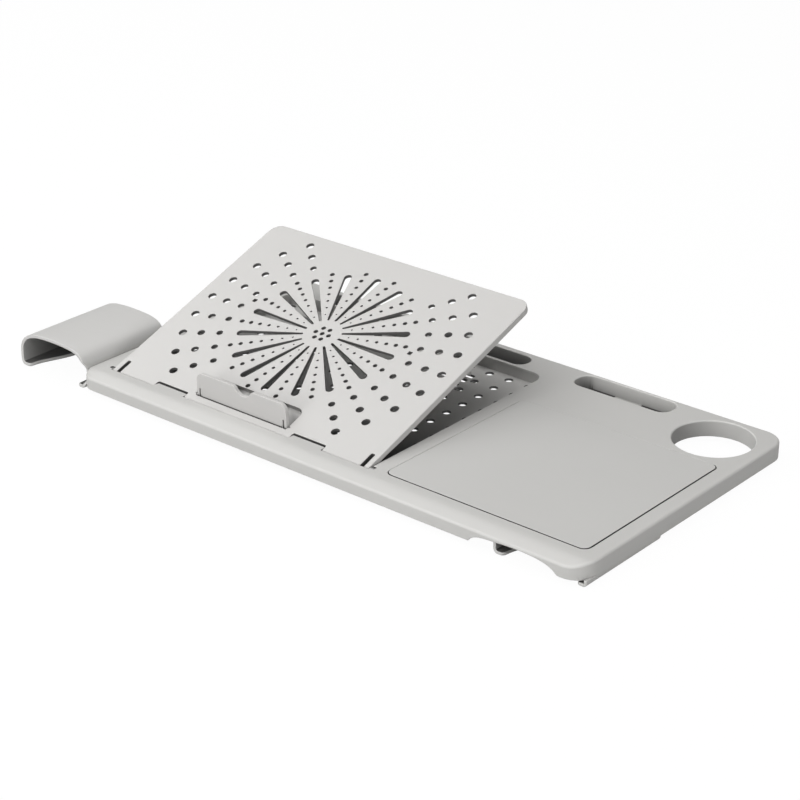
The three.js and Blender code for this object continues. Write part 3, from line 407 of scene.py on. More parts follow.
def inside(points, starts, ends):
    """Even-odd test: a point is inside where a ray along +X crosses an odd count of borders."""
    x, y = points[:, :1], points[:, 1:]
    straddles = (starts[:, 1] > y) != (ends[:, 1] > y)
    rise = ends[:, 1] - starts[:, 1]
    rise = np.where(np.abs(rise) < 1e-12, 1e-12, rise)
    crossing = starts[:, 0] + (y - starts[:, 1]) * (ends[:, 0] - starts[:, 0]) / rise
    return (straddles & (x < crossing)).sum(1) % 2 == 1


def kept_inside(points, loop):
    """The points that lie inside a loop."""
    return points[inside(points, loop, np.roll(loop, -1, 0))]


def crossings(x, y):
    """Every x at every y, as a list of points."""
    return np.stack(np.meshgrid(x, y), -1).reshape(-1, 2)


def arc(x, y, radius, first, last, count):
    """Points on a circle from one angle to another: centre plus radius times their cosine and sine."""
    angle = np.linspace(first, last, count)
    return np.stack([x + radius * np.cos(angle), y + radius * np.sin(angle)], -1)


def ring(x, y, radius, count):
    """Whole circle of count points."""
    return arc(x, y, radius, 0, 2 * np.pi, count + 1)[:-1]


def mirror(corners, middle):
    """Mirror images of corners about x = middle, in the order that closes a loop."""
    return [(2 * middle - x, y, radius) for x, y, radius in corners[::-1]]


def grown(box, by):
    """A box with its four sides moved out."""
    return box[0] - by, box[1] - by, box[2] + by, box[3] + by


def path(corners, spacing=14.0, count=7):
    """Closed loop through corners (x, y, radius): each corner becomes an arc that touches both its
    sides, and the straight runs between arcs are cut into equal steps no longer than spacing."""
    given = np.array(corners, float)
    here, radius = given[:, :2], given[:, 2]
    back = np.roll(here, 1, 0) - here
    ahead = np.roll(here, -1, 0) - here
    back = back / np.linalg.norm(back, axis=1, keepdims=True)
    ahead = ahead / np.linalg.norm(ahead, axis=1, keepdims=True)
    half = np.arccos(np.clip((back * ahead).sum(1), -1, 1)) / 2
    reach = np.where(radius > 0, radius / np.tan(np.maximum(half, 1e-6)), 0)
    bisector = back + ahead
    bisector = bisector / np.maximum(np.linalg.norm(bisector, axis=1, keepdims=True), 1e-9)
    centre = here + bisector * (radius / np.sin(np.maximum(half, 1e-6)))[:, None]
    start = here + back * reach[:, None]
    stop = here + ahead * reach[:, None]
    pieces = []
    for i in range(len(here)):
        if radius[i] > 0:
            first = np.arctan2(*(start[i] - centre[i])[::-1])
            turn = np.arctan2(*(stop[i] - centre[i])[::-1]) - first
            turn = (turn + np.pi) % (2 * np.pi) - np.pi
            pieces.append(arc(*centre[i], radius[i], first, first + turn, count + 1))
        else:
            pieces.append(here[i][None])
        following = start[(i + 1) % len(here)]
        cuts = int(np.ceil(np.linalg.norm(following - stop[i]) / spacing))
        if cuts > 1:
            share = np.arange(1, cuts)[:, None] / cuts
            pieces.append(stop[i] + (following - stop[i]) * share)
    loop = np.vstack(pieces)
    distinct = np.linalg.norm(loop - np.roll(loop, 1, 0), axis=1) > 1e-6
    return loop[distinct]


def rectangle(x0, y0, x1, y1, radius, spacing=14.0, count=7):
    """Rounded rectangle, with one radius or four: front left, front right, back right, back left."""
    radii = np.broadcast_to(np.asarray(radius, float), 4)
    corners = [(x0, y0, radii[0]), (x1, y0, radii[1]), (x1, y1, radii[2]), (x0, y1, radii[3])]
    return path(corners, spacing, count)


def outward(loop):
    """Mitred outward normals of a counterclockwise loop: the sum of both sides' normals over one
    plus their dot product, so that an offset keeps its distance from both sides."""
    side = np.roll(loop, -1, 0) - loop
    side = side / np.linalg.norm(side, axis=1, keepdims=True)
    after = np.stack([side[:, 1], -side[:, 0]], -1)
    before = np.roll(after, 1, 0)
    return (before + after) / np.maximum(1 + (before * after).sum(1), 0.25)[:, None]


def quarter(radius, count=4):
    """Quarter round from a flat face to a wall: rows of (distance in, fall), one per step of angle."""
    angle = np.linspace(0, np.pi / 2, count + 1)
    return np.stack([radius * (1 - np.sin(angle)), -radius * (1 - np.cos(angle))], -1)


def wall_rows(top, bottom, top_radius, bottom_radius, count=4):
    """Profile of an edge: quarter round at the top, straight wall, quarter round at the bottom.
    Rows of (distance in, height), with a mark for the rounded rows."""
    upper = quarter(top_radius, count) + [0, top]
    lower = quarter(bottom_radius, count)[::-1] * [1, -1] + [0, bottom]
    mark = np.sin(np.linspace(0, np.pi, count + 1))
    return np.vstack([upper, lower]), np.concatenate([mark, mark])


def round_rows(radius, top, bottom, count):
    """The same profile where the radius, and perhaps the height, changes from point to point of a loop:
    the distances and heights, and the marks, with a row for each step and a column for each point."""
    unit = quarter(1.0, count)
    distance = np.vstack([unit[:, :1] * radius, unit[::-1, :1] * radius])
    height = np.vstack([top + unit[:, 1:] * radius, bottom - unit[::-1, 1:] * radius])
    mark = np.tile(np.sin(np.linspace(0, np.pi, count + 1)), 2)
    return (distance, height), np.repeat(mark[:, None], len(radius), 1)


def carry(loop, rows, into):
    """Carries a profile round a loop: each row is the loop moved along its normals by into times the
    row's distance, at the row's height. Distances and heights may differ from point to point."""
    shape = (len(rows[0]), len(loop))
    distance, height = (np.broadcast_to(np.reshape(row, (shape[0], -1)), shape) for row in rows)
    flat = loop[None] + into * outward(loop)[None] * distance[..., None]
    return np.concatenate([flat, height[..., None]], -1)


def moulded(outer, holes, top, bottom, edge, hole_edge=None, count=4, extra=None):
    """Closed plate with rounded edges: a profile carried round every loop and flat faces between. The
    outer edge has one radius or one for each point, and extra points may lie in the flat faces."""
    made = Surface()
    rows, marks = round_rows(np.broadcast_to(edge, len(outer)), top, bottom, count)
    rims = [made.rim(outer, rows, -1, marks)]
    hole_edge = edge if hole_edge is None else hole_edge
    for loop in holes:
        rows, marks = wall_rows(top, bottom, hole_edge, hole_edge, max(2, count - 1))
        rims.append(made.rim(loop, rows.T, 1, marks))
    made.fill([r[0] for r in rims], top, extra)
    made.fill([r[-1] for r in rims], bottom, extra)
    return made


def along_x(points):
    """Turns a plate drawn in (y, z, x) into the frame."""
    return points[:, [2, 0, 1]]


def about_x(points, angle, at):
    """Turns points about the X axis by an angle and moves them to at."""
    c, s = math.cos(angle), math.sin(angle)
    x, y, z = points.T
    return np.stack([x + at[0], c * y - s * z + at[1], s * y + c * z + at[2]], -1)


def on_panel(points):
    """From the panel's own flat frame to where it stands, tilted about its hinge."""
    return about_x(points, PANEL_TILT, HINGE)


def on_stop(points):
    """From the stop's own flat frame to the panel, open, and with the panel to where it stands."""
    at = (STOP_CENTRE, STOP_AXIS[0] - PANEL_THICK / 2, PANEL_THICK / 2 + STOP_AXIS[1])
    return on_panel(about_x(points, STOP_OPEN, at))


def on_prop(points):
    """From the prop's own flat frame to the panel, leaning, and with the panel to where it stands."""
    at = (0.0, PROP_AXIS[0] - PANEL_THICK / 2, PANEL_THICK / 2 + PROP_AXIS[1])
    return on_panel(about_x(points, -(PANEL_TILT + PROP_LEAN), at))


def pin(x0, x1, radius):
    """Round pin along the X axis with softened ends."""
    made = Surface()
    made.take(moulded(ring(0.0, 0.0, radius, 20), [], x1, x0, min(0.35, radius / 3), count=3), along_x)
    return made


def slab(x0, x1, y0, y1, z0, z1, corner=0.6, edge=0.35):
    """Block with rounded corners and edges."""
    return moulded(rectangle(x0, y0, x1, y1, corner, 40.0, 3), [], z1, z0, edge, count=2)


def slope(y):
    """Fall of the front of the deck: a parabola over the bend, then a straight slope."""
    run = np.maximum(SLOPE_START - y, 0.0)
    bend = np.minimum(run, SLOPE_BEND)
    return -SLOPE_FALL * (bend ** 2 / (2 * SLOPE_BEND) + run - bend)


def tongue(y, ends, widths, corner):
    """Width of a tongue-shaped lip: narrow at both ends, widest in the middle, by a raised cosine, and
    with a quarter round at both corners."""
    swing = (1 - np.cos(2 * np.pi * (y - ends[0]) / (ends[1] - ends[0]))) / 2
    short = np.maximum(corner - np.minimum(y - ends[0], ends[1] - y), 0)
    cut = corner - np.sqrt(np.maximum(corner ** 2 - short ** 2, 0))
    return widths[0] + (widths[1] - widths[0]) * swing - cut


def stations_along(ends, corner, count):
    """Places along a lip: equal steps in the middle and equal turns round the corners."""
    near = corner * (1 - np.cos(np.linspace(0, np.pi / 2, 8)))[:-1]
    middle = np.linspace(ends[0] + corner, ends[1] - corner, count)
    return np.concatenate([ends[0] + near, middle, (ends[1] - near)[::-1]])


def ease(start, stop, value):
    """Smooth step from 0 at start to 1 at stop."""
    t = np.clip((value - start) / (stop - start), 0, 1)
    return t * t * (3 - 2 * t)


def arch_height(x):
    """Height of the armrest arch above the wall's foot, by its share of the arch's width."""
    share = np.array([0, 0.003, 0.02, 0.043, 0.08, 0.114, 0.19, 0.283, 0.42, 0.567, 0.67, 0.754, 0.83, 0.894,
                      0.93, 0.954, 0.98, 0.996, 1])
    rise = np.array([0, 0.056, 0.24, 0.405, 0.585, 0.692, 0.795, 0.856, 0.95, 1, 0.97, 0.908, 0.8, 0.641,
                     0.5, 0.364, 0.17, 0.036, 0])
    return ARCH_RISE * np.interp((x - ARCH[0]) / (ARCH[1] - ARCH[0]), share, rise, 0, 0)


def pocket_depth(x, y):
    """Floor of the phone pocket: flat, a drafted back wall, and a groove at its foot towards both ends."""
    wall = np.minimum(POCKET_FLOOR + np.maximum(y - POCKET_FOOT, 0) * POCKET_RISE, POCKET_BROW)
    end = (x < POCKET_STEPS[0]) | (x > POCKET_STEPS[1])
    groove = end & (y > GROOVE_SIDES[0]) & (y < GROOVE_SIDES[1])
    return np.where(groove, GROOVE_FLOOR, wall)


def pocket_shade(points):
    """Mark of the pocket's painted shade: none at the rim, a third at the floor, and full in the groove,
    at the wall's foot above it and at the narrow left end."""
    x, y, depth = points.T
    share = np.clip((POCKET_BROW - depth) / 12, 0, 1)
    end = (x < POCKET_STEPS[0]) | (x > POCKET_STEPS[1])
    foot = end & (y > GROOVE_SIDES[0]) & (y < POCKET_FOOT + 0.04) & (depth < POCKET_FLOOR + 0.1)
    left = ease(POCKET[0] + 14, POCKET[0] + 2, x)
    return np.where(foot, -1.0, -(0.28 + 0.72 * left) * share - 0.4 * left * (1 - share))


def floor_shade(points):
    """Mark of the tub's floor: painted shade, dark in the wedge under the panel and clearing towards the
    back.
    """
    return -0.9 * (1 - ease(FLOOR_SHADE[0], FLOOR_SHADE[1], points[:, 1]))


def floor_openings():
    """Loops of the tub floor: a grid of round holes and three rows of slots for the prop's feet."""
    centres = crossings(FLOOR_FIRST[0] + np.arange(FLOOR_COUNT[0]) * FLOOR_PITCH,
                        FLOOR_FIRST[1] + np.arange(FLOOR_COUNT[1]) * FLOOR_PITCH)
    clear = np.ones(len(centres), bool)
    slots = crossings(PROP_ARMS, FOOT_ROWS)
    for slot in slots:
        clear &= (np.abs(centres - slot) > FOOT_SLOT / 2 + FOOT_CLEAR).any(1)
    for screw in crossings(list(RAIL_SCREWS.values()), list(RAIL_ROWS.values())):
        clear &= np.linalg.norm(centres - screw, axis=1) > SCREW_CLEAR
    loops = [ring(*centre, FLOOR_HOLE, 20) for centre in centres[clear]]
    loops += [rectangle(*(slot - FOOT_SLOT / 2), *(slot + FOOT_SLOT / 2), 1.5, 40.0, 4) for slot in slots]
    return loops


def recess_loop():
    """Edge of the recess at the deck, with the two tabs at the front and the seats of the hinge pins."""
    left, front, right, back = RECESS
    low, high, reach = HINGE[1] - SEAT_HALF, HINGE[1] + SEAT_HALF, right + SEAT_REACH
    corners = [(left, front, 0.6)]
    for x in TAB_STARTS:
        corners += [(x, front, 1.2), (x, TAB_REACH, 1.8)]
        corners += [(x + TAB_WIDTH, TAB_REACH, 1.8), (x + TAB_WIDTH, front, 1.2)]
    corners += [(right, front, 0.6)]
    side = [(right, low, 0.6), (reach, low, 0.8), (reach, high, 0.8), (right, high, 0.6),
            (right, back, RECESS_CORNER)]
    return path(corners + side + mirror(side, (left + right) / 2), 16.0, 6)


def skirt(made, deck_edge):
    """Outer wall of the tray: its foot rises over the armrest arch and over the sliding plate. This and the
    next functions return their loops at the top of the deck and under it."""
    outline = rectangle(
        TRAY_LEFT, TRAY_FRONT, TRAY_RIGHT, TRAY_BACK,
        (CORNER_LEFT, CORNER_RIGHT, CORNER_RIGHT, CORNER_LEFT), 2.4, 14)
    x, y = outline.T
    foot = np.where(y < TRAY_FRONT + 0.01, arch_height(x), 0) - TRAY_DEPTH
    passing = (x < TRAY_LEFT + 0.01) & (y > PLATE[1] - 0.6) & (y < PLATE[3] + 0.6)
    foot = np.where(passing, PLATE_TOP + 0.4, foot)
    upper = quarter(deck_edge, 6)
    lower = quarter(SKIRT_FOOT, 3)
    distance = np.concatenate([upper[:, 0], lower[::-1, 0], TRAY_WALL - lower[:, 0], [TRAY_WALL]])
    fall = slope(y - outward(outline)[:, 1] * distance[:, None])
    height = np.vstack([
        upper[:, 1:] + fall[:len(upper)], foot - lower[::-1, 1:], foot - lower[:, 1:], fall[-1:] - TRAY_SKIN])
    marks = np.concatenate([np.sin(np.linspace(0, np.pi, 7)), np.zeros(len(distance) - 7)])
    rim = made.rim(outline, (distance, height), -1, marks)
    return rim[0], rim[-1]


def tub(made):
    """Recess of the panel: the tabs and pin seats end part of the way down, below them the wall is plain,
    and the floor is full of holes."""
    left, front, right, back = RECESS
    recess = recess_loop()
    x, y = recess.T
    plain = np.stack([np.clip(x, left, right), y], -1)
    tabs = (y > front) & (y < TAB_REACH + 0.1) & (x > 10) & (x < PANEL_WIDTH - 10)
    plain[tabs, 1] = front
    seats = (x < left - 0.01) | (x > right + 0.01)
    turn = np.where(seats, -SEAT_DEPTH, -TAB_DEPTH)
    lip = quarter(RECESS_EDGE)
    upper = carry(recess, (
        np.append(lip[:, 0], 0.0), np.vstack([np.repeat(lip[:, 1:], len(recess), 1), turn])), 1)
    lower = [np.column_stack([plain, level]) for level in (turn, np.full(len(plain), FLOOR_TOP))]
    marks = np.repeat(np.array([0, 0.6, 1, 0.6, 0, 0, 0, 0])[:, None], len(recess), 1)
    # Painted shade on the lower wall at the back corners and near the hinge.
    marks[5:, y > back - RECESS_CORNER - 1] = np.array([-0.2, -0.2, -0.5])[:, None]
    marks[4:, y < 8] = -1.0
    made.grid(np.concatenate([upper, lower]), marks)
    rims = []
    for loop in floor_openings():
        rows = wall_rows(FLOOR_TOP, FLOOR_BOTTOM, 0.3, 0.3, 2)[0]
        rows[:, 0] -= FLOOR_DRAFT * (FLOOR_TOP - rows[:, 1]) / (FLOOR_TOP - FLOOR_BOTTOM)
        rims.append(carry(loop, rows.T, 1))
        # Painted shade on the hole walls; their top row takes the floor's painted shade.
        marks = np.full((len(rows), len(loop)), -0.9)
        marks[0] = floor_shade(rims[-1][0])
        marks[-1] = 0.0
        made.grid(rims[-1], marks)
    floor_edge = plain[np.linalg.norm(plain - np.roll(plain, 1, 0), axis=1) > 1e-6]
    made.fill([floor_edge] + [r[0] for r in rims], FLOOR_TOP, None, floor_shade)
    corner = RECESS_CORNER + TUB_WALL
    outline = rectangle(*grown(RECESS, TUB_WALL), (3, 3, corner, corner), 20.0, 6)
    base = quarter(0.6, 2)
    rows = (np.append(base[:, 0], 0.0), np.append(FLOOR_BOTTOM - base[:, 1], -TRAY_SKIN))
    under = made.rim(outline, rows, -1)
    made.fill([under[0]] + [r[-1] for r in rims], FLOOR_BOTTOM)
    return upper[0], under[-1]


def boxed(made, loop, chamfer, low):
    """Underside of a hollow: a wall from the deck's skin down to a flat with a chamfer. Returns its top."""
    rim = made.rim(loop, ([chamfer, 0.0, 0.0], [low, low + chamfer, -TRAY_SKIN]), -1)
    made.fill([rim[0]], low)
    return rim[-1]


def pad_seat(made):
    """Seat of the mouse surface on its thicker skin, with a groove round it."""
    groove = [[0.0, PAD_GROOVE], [-PAD_LEDGE, PAD_GROOVE], [-PAD_LEDGE, PAD_SEAT]]
    rows = np.vstack([quarter(PAD_EDGE, 3), groove])
    # The groove's walls and floor are darkened by painted shade.
    rim = made.rim(rectangle(*PAD, PAD_CORNER, 20.0, 6), rows.T, 1, [0, 0.5, 0.5, -0.5, -1, -1, -1])
    made.fill([rim[-1]], PAD_SEAT)
    skin = rectangle(PAD[0] - 3, PAD[1] - 1, PAD[2] + 3, PAD[3] + 3, 4.0, 20.0, 4)
    return rim[0], boxed(made, skin, 0.5, PAD_SKIN)


def tablet_slot(made, opening):
    """Slot for a tablet, with a rounded foot."""
    half = (SLOT[3] - SLOT[1]) / 2
    rows, mark = wall_rows(0.0, SLOT_FLOOR + SLOT_ROUND, opening, 0.0)
    foot = arc(-SLOT_ROUND, SLOT_FLOOR + SLOT_ROUND, SLOT_ROUND, 0, -np.pi / 2, 5)
    rows = np.vstack([rows[:6], foot[1:]])
    # Painted shade darkens the lower wall, the foot and the floor.
    marks = np.concatenate([mark[:4], [-0.5, -0.9], np.full(4, -1.0)])
    rim = made.rim(rectangle(*SLOT, half - 0.4, 10.0, 12), rows.T, 1, marks)
    made.fill([rim[-1]], SLOT_FLOOR, None, -1.0)
    under = rectangle(*grown(SLOT, 1.4), half + 1.0, 10.0, 12)
    return rim[0], boxed(made, under, 0.8, SLOT_FLOOR - HOLLOW_SHELL)


def phone_pocket(made, opening):
    """Phone pocket: its wall goes down to the stepped floor."""
    loop = rectangle(*POCKET, POCKET_CORNER, 3.0, 24)
    edge = quarter(opening)
    depth = pocket_depth(*loop.T)
    # The wall and floor take the pocket's painted shade.
    brow = pocket_shade(np.column_stack([loop, np.full(len(loop), POCKET_BROW)]))
    shade = pocket_shade(np.column_stack([loop, np.maximum(depth, POCKET_FLOOR + 0.2)]))
    height = np.vstack([np.repeat(edge[:, 1:], len(loop), 1), depth])
    mark = np.sin(np.linspace(0, np.pi, 5))[:4, None]
    marks = np.vstack([np.repeat(mark, len(loop), 1), brow, shade])
    rim = made.rim(loop, (np.append(edge[:, 0], 0.0), height), 1, marks)
    levels = [side + shift for side in GROOVE_SIDES for shift in (-GROOVE_DRAFT, GROOVE_DRAFT)]
    levels += [POCKET_FOOT, POCKET_FOOT + 0.08, POCKET_FOOT + 0.5]
    steps = [side + shift for side in POCKET_STEPS for shift in (-GROOVE_DRAFT, GROOVE_DRAFT)]
    extra = np.vstack([
        crossings(np.linspace(POCKET[0] + 2, POCKET[2] - 2, 58), levels),
        crossings(np.linspace(*GROOVE_SIDES, 5), steps)[:, ::-1]])
    made.fill([loop], pocket_depth, kept_inside(extra, loop), pocket_shade)
    under = rectangle(*grown(POCKET, 1), POCKET_CORNER + 1, 10.0, 10)
    return rim[0], boxed(made, under, 0.8, POCKET_FLOOR - HOLLOW_SHELL)


def cup_tube(made, opening):
    """Cup tube, open at both ends, its wall darkened by painted shade at its left side."""
    cup = ring(*CUP, CUP_RADIUS, 96)
    rows, mark = wall_rows(0.0, -TRAY_DEPTH, opening * 1.2, CUP_FOOT, 5)
    marks = np.repeat(mark[:, None], len(cup), 1)
    left = np.clip((CUP[0] - cup[:, 0]) / CUP_RADIUS, 0, 1) ** 2
    marks[5:] = np.minimum(marks[5:], 0) - 0.45 * left
    rim = made.rim(cup, rows.T, 1, marks)
    rows = ([CUP_TUBE - CUP_FOOT, 0.6, 0.0, 0.0], [-TRAY_DEPTH, -TRAY_DEPTH, 0.6 - TRAY_DEPTH, -TRAY_SKIN])
    tube = made.rim(ring(*CUP, CUP_RADIUS + CUP_TUBE, 96), rows, -1)
    return rim[0], tube[-1]


def tray_surface(sizes):
    """Tray shell: skirt, tub, seat, slot, pocket and cup tube, and the deck between them, above and below,
    which is bent along the front."""
    made = Surface()
    opening = sizes.opening_edge * 1000
    loops = [skirt(made, sizes.deck_edge * 1000), tub(made), pad_seat(made), tablet_slot(made, opening),
             phone_pocket(made, opening), cup_tube(made, opening)]
    bend = crossings(np.linspace(TRAY_LEFT + 3, TRAY_RIGHT - 3, 90), np.linspace(-21.5, -3.5, 12))
    bend = kept_inside(bend, loops[0][0])
    made.fill([top for top, under in loops], lambda x, y: slope(y), bend)
    made.fill([under for top, under in loops], lambda x, y: slope(y) - TRAY_SKIN, bend)
    return made


def tray_details():
    """Closed blocks under the tray: cheeks of the hinge, ribs, screw bosses and the end lip."""
    made = Surface()
    reach = SEAT_REACH + 2
    for x0, x1 in ((RECESS[0] - reach, RECESS[0] - 0.5), (RECESS[2] + 0.5, RECESS[2] + reach)):
        made.take(slab(x0, x1, *CHEEK, -SEAT_DEPTH + 0.1))
    ribs = [(RECESS[2] + 2.3, TRAY_RIGHT - 1.5, y, y + RIB_WIDTH, RIB_BOTTOM, -2.9) for y in RIBS_ACROSS]
    ribs += [(x, x + RIB_WIDTH, TRAY_FRONT + 1.5, RIB_BACK, RIB_BOTTOM, -4.7) for x in RIBS_ALONG]
    ribs += [(x, x + RIB_WIDTH, FOOT_ROWS[2] - 17.6, FOOT_ROWS[0] + 12.2, -TRAY_DEPTH, FLOOR_BOTTOM + 0.2)
             for x in FLOOR_RIBS]
    for rib in ribs:
        made.take(slab(*rib, 0.4, 0.3))
    for y in HOOK_SCREWS.values():
        made.take(moulded(ring(HOOK_SCREW_X, y, BOSS_RADIUS, 24), [], *BOSS_ENDS, 0.3, count=2))
    stations = stations_along(END_LIP_ENDS, END_LIP_CORNER, 29)
    tip = TRAY_RIGHT - tongue(stations, END_LIP_ENDS, END_LIP, END_LIP_CORNER)
    x, bend = TRAY_RIGHT - 0.03, END_LIP_BEND
    outer = arc(x - bend, LIP_BOTTOM + bend, bend, 0, -np.pi / 2, 7)
    inner = arc(x - bend, LIP_BOTTOM + bend, bend - LIP_SHEET, -np.pi / 2, 0, 7)
    made.take(carried_sheet(
        np.vstack([[[x, END_LIP_ROOT]], outer]), np.vstack([inner, [[x - LIP_SHEET, END_LIP_ROOT]]]),
        stations, None, tip, LIP_BOTTOM, LIP_SHEET, 0.9))
    return made


def carried_sheet(outer, inner, stations, first_tip, last_tip, bottom, gauge, edge, scoop=lambda x, z: 0 * x):
    """Bent sheet carried along Y. Its section runs along the outer line, round the last lip's tip, back
    along the inner line and round the first lip's tip, if there is one; a tip's place changes from station
    to station. At both ends the section is drawn in by a quarter round, a scoop draws part of the end back
    along Y, and a cap closes it. The inner side is darkened by painted shade, most of all on the lips."""
    half = gauge / 2
    bulge = arc(-half, bottom + half, half, -np.pi / 2, np.pi / 2, 7)
    turn = np.linspace(0, np.pi / 2, 5)[:-1]
    near = edge * (1 - np.cos(turn))
    first, last = stations[0], stations[-1]
    y = np.concatenate([first + near, np.clip(stations, first + edge, last - edge), last - near[::-1]])
    inset = np.zeros(len(y))
    inset[:4] = edge * (1 - np.sin(turn))
    inset[-4:] = inset[:4][::-1]

    def tip_rows(tip, root):
        """Half-round tip of a lip at every station, pointing away from its root."""
        x = np.interp(y, stations, tip)[:, None] + np.sign(tip.mean() - root) * bulge[:, 0]
        return np.stack([x, np.broadcast_to(bulge[:, 1], x.shape)], -1)

    parts = [np.broadcast_to(outer, (len(y), *outer.shape)), tip_rows(last_tip, outer[-1, 0]),
             np.broadcast_to(inner, (len(y), *inner.shape))]
    if first_tip is not None:
        parts.append(tip_rows(first_tip, outer[0, 0])[:, ::-1])
    section = np.concatenate(parts, 1)
    column = np.arange(section.shape[1])
    start = len(outer) + len(bulge)
    within = (column >= start - 1) & (column < start + len(inner) + (first_tip is not None))
    middle = section[len(y) // 2]
    beyond = np.roll(middle, -1, 0)
    if (middle[:, 0] * beyond[:, 1] - middle[:, 1] * beyond[:, 0]).sum() < 0:
        section = section[:, ::-1]
        within = within[::-1]
    drawn = section - np.stack([outward(s) for s in section]) * inset[:, None, None]
    pull = np.clip(1 - (y - first) / SCOOP_REACH, 0, 1) - np.clip(1 - (last - y) / SCOOP_REACH, 0, 1)
    back = pull[:, None] * scoop(drawn[..., 0], drawn[..., 1])
    points = np.stack([drawn[..., 0], y[:, None] + back, drawn[..., 1]], -1)
    marks = np.zeros(points.shape[:2])
    marks[:4] = np.array([0.4, 0.8, 1, 0.6])[:, None]
    marks[-4:] = marks[:4][::-1]
    # Painted shade on the inner side: full on the lips, and darker further in from both ends.
    depth = np.clip(np.minimum(y - first, last - y) / 50, 0, 1)[:, None]
    dim = np.where(points[..., 2] < bottom + gauge + 1.2, -1.0, -0.3 - 0.6 * depth)
    marks[4:-4] = np.where(within, dim, marks)[4:-4]
    made = Surface()
    made.grid(points, marks)
    for row in (0, -1):
        cap = Surface()
        cap.fill([drawn[row]], lambda x, z: y[row] + pull[row] * scoop(x, z))
        made.take(cap, lambda p: p[:, [0, 2, 1]])
    return made


def hook_surface(sizes):
    """Arm hook: the crown, both walls and both lips as one bent sheet carried along Y."""
    crown = np.array([
        [0, -0.216], [0.008, 0.032], [0.032, 0.281], [0.079, 0.551], [0.150, 0.757], [0.239, 0.892],
        [0.353, 0.968], [0.478, 1], [0.603, 1], [0.728, 0.973], [0.826, 0.914], [0.900, 0.795],
        [0.950, 0.627], [0.981, 0.411], [0.996, 0.184], [1, -0.081]])
    line = np.stack([HOOK_OUTER + crown[:, 0] * (HOOK_INNER - HOOK_OUTER), crown[:, 1] * HOOK_CROWN], -1)
    wide, tight = HOOK_BENDS
    first = arc(HOOK_OUTER + wide, HOOK_BOTTOM + wide, wide, -np.pi / 2, -np.pi, 7)
    last = arc(HOOK_INNER - tight, HOOK_BOTTOM + tight, tight, 0, -np.pi / 2, 7)
    outer = smooth_line(np.vstack([first, line, last]), 2.2)
    side = np.gradient(outer, axis=0)
    side = side / np.linalg.norm(side, axis=1, keepdims=True)
    inner = (outer + HOOK_SHEET * np.stack([side[:, 1], -side[:, 0]], -1))[::-1]
    stations = stations_along(HOOK_ENDS, HOOK_CORNERS[0], 37)
    lip = HOOK_OUTER + tongue(stations, HOOK_ENDS, HOOK_LIP, HOOK_CORNERS[0])
    inner_lip = HOOK_INNER - tongue(stations, HOOK_ENDS, HOOK_INNER_LIP, HOOK_CORNERS[1])

    def scoop(x, z):
        """How far the end of the inner wall lies back, between the crown and the lip."""
        return HOOK_SCOOP * (x > HOOK_INNER - 20) * ease(8, -4, z) * ease(-19, -14, z)

    return carried_sheet(
        outer, inner, stations, lip, inner_lip, HOOK_BOTTOM, HOOK_SHEET, sizes.hook_edge * 1000, scoop)


def smooth_line(points, spacing):
    """Points at equal steps along a line through the given ones, by a cubic Hermite curve whose
    tangents are the differences of the neighbours over the length between them."""
    length = np.concatenate([[0], np.cumsum(np.linalg.norm(np.diff(points, axis=0), axis=1))])
    tangent = np.gradient(points, length, axis=0)
    at = np.linspace(0, length[-1], int(np.ceil(length[-1] / spacing)) + 1)
    i = np.clip(np.searchsorted(length, at, "right") - 1, 0, len(points) - 2)
    step = (length[i + 1] - length[i])[:, None]
    t = ((at - length[i]) / step[:, 0])[:, None]
    return ((2 * t ** 3 - 3 * t ** 2 + 1) * points[i] + (t ** 3 - 2 * t ** 2 + t) * step * tangent[i]
            + (3 * t ** 2 - 2 * t ** 3) * points[i + 1] + (t ** 3 - t ** 2) * step * tangent[i + 1])


def inner_hook_surface(sizes):
    """Inner hook of the right channel: a flange under the tray, a wall and a tongue-shaped lip."""
    made = Surface()
    x, top, bend = INNER_HOOK_X, INNER_HOOK_TOP, INNER_HOOK_BEND
    stations = stations_along(INNER_HOOK_ENDS, INNER_HOOK_CORNER, 29)
    tip = x + tongue(stations, INNER_HOOK_ENDS, INNER_HOOK_LIP, INNER_HOOK_CORNER)
    outer = arc(x + bend, LIP_BOTTOM + bend, bend, np.pi, 1.5 * np.pi, 7)
    inner = arc(x + bend, LIP_BOTTOM + bend, bend - LIP_SHEET, 1.5 * np.pi, np.pi, 7)
    made.take(carried_sheet(
        np.vstack([[[x, top]], outer]), np.vstack([inner, [[x + LIP_SHEET, top]]]),
        stations, None, tip, LIP_BOTTOM, LIP_SHEET, sizes.hook_edge * 1000))
    ends = (FLANGE_FRONT, INNER_HOOK_ENDS[1], top - FLANGE_THICK, top)
    made.take(slab(x - INNER_HOOK_FLANGE, x + 1.5, *ends, 2.0, 0.4))
    return made


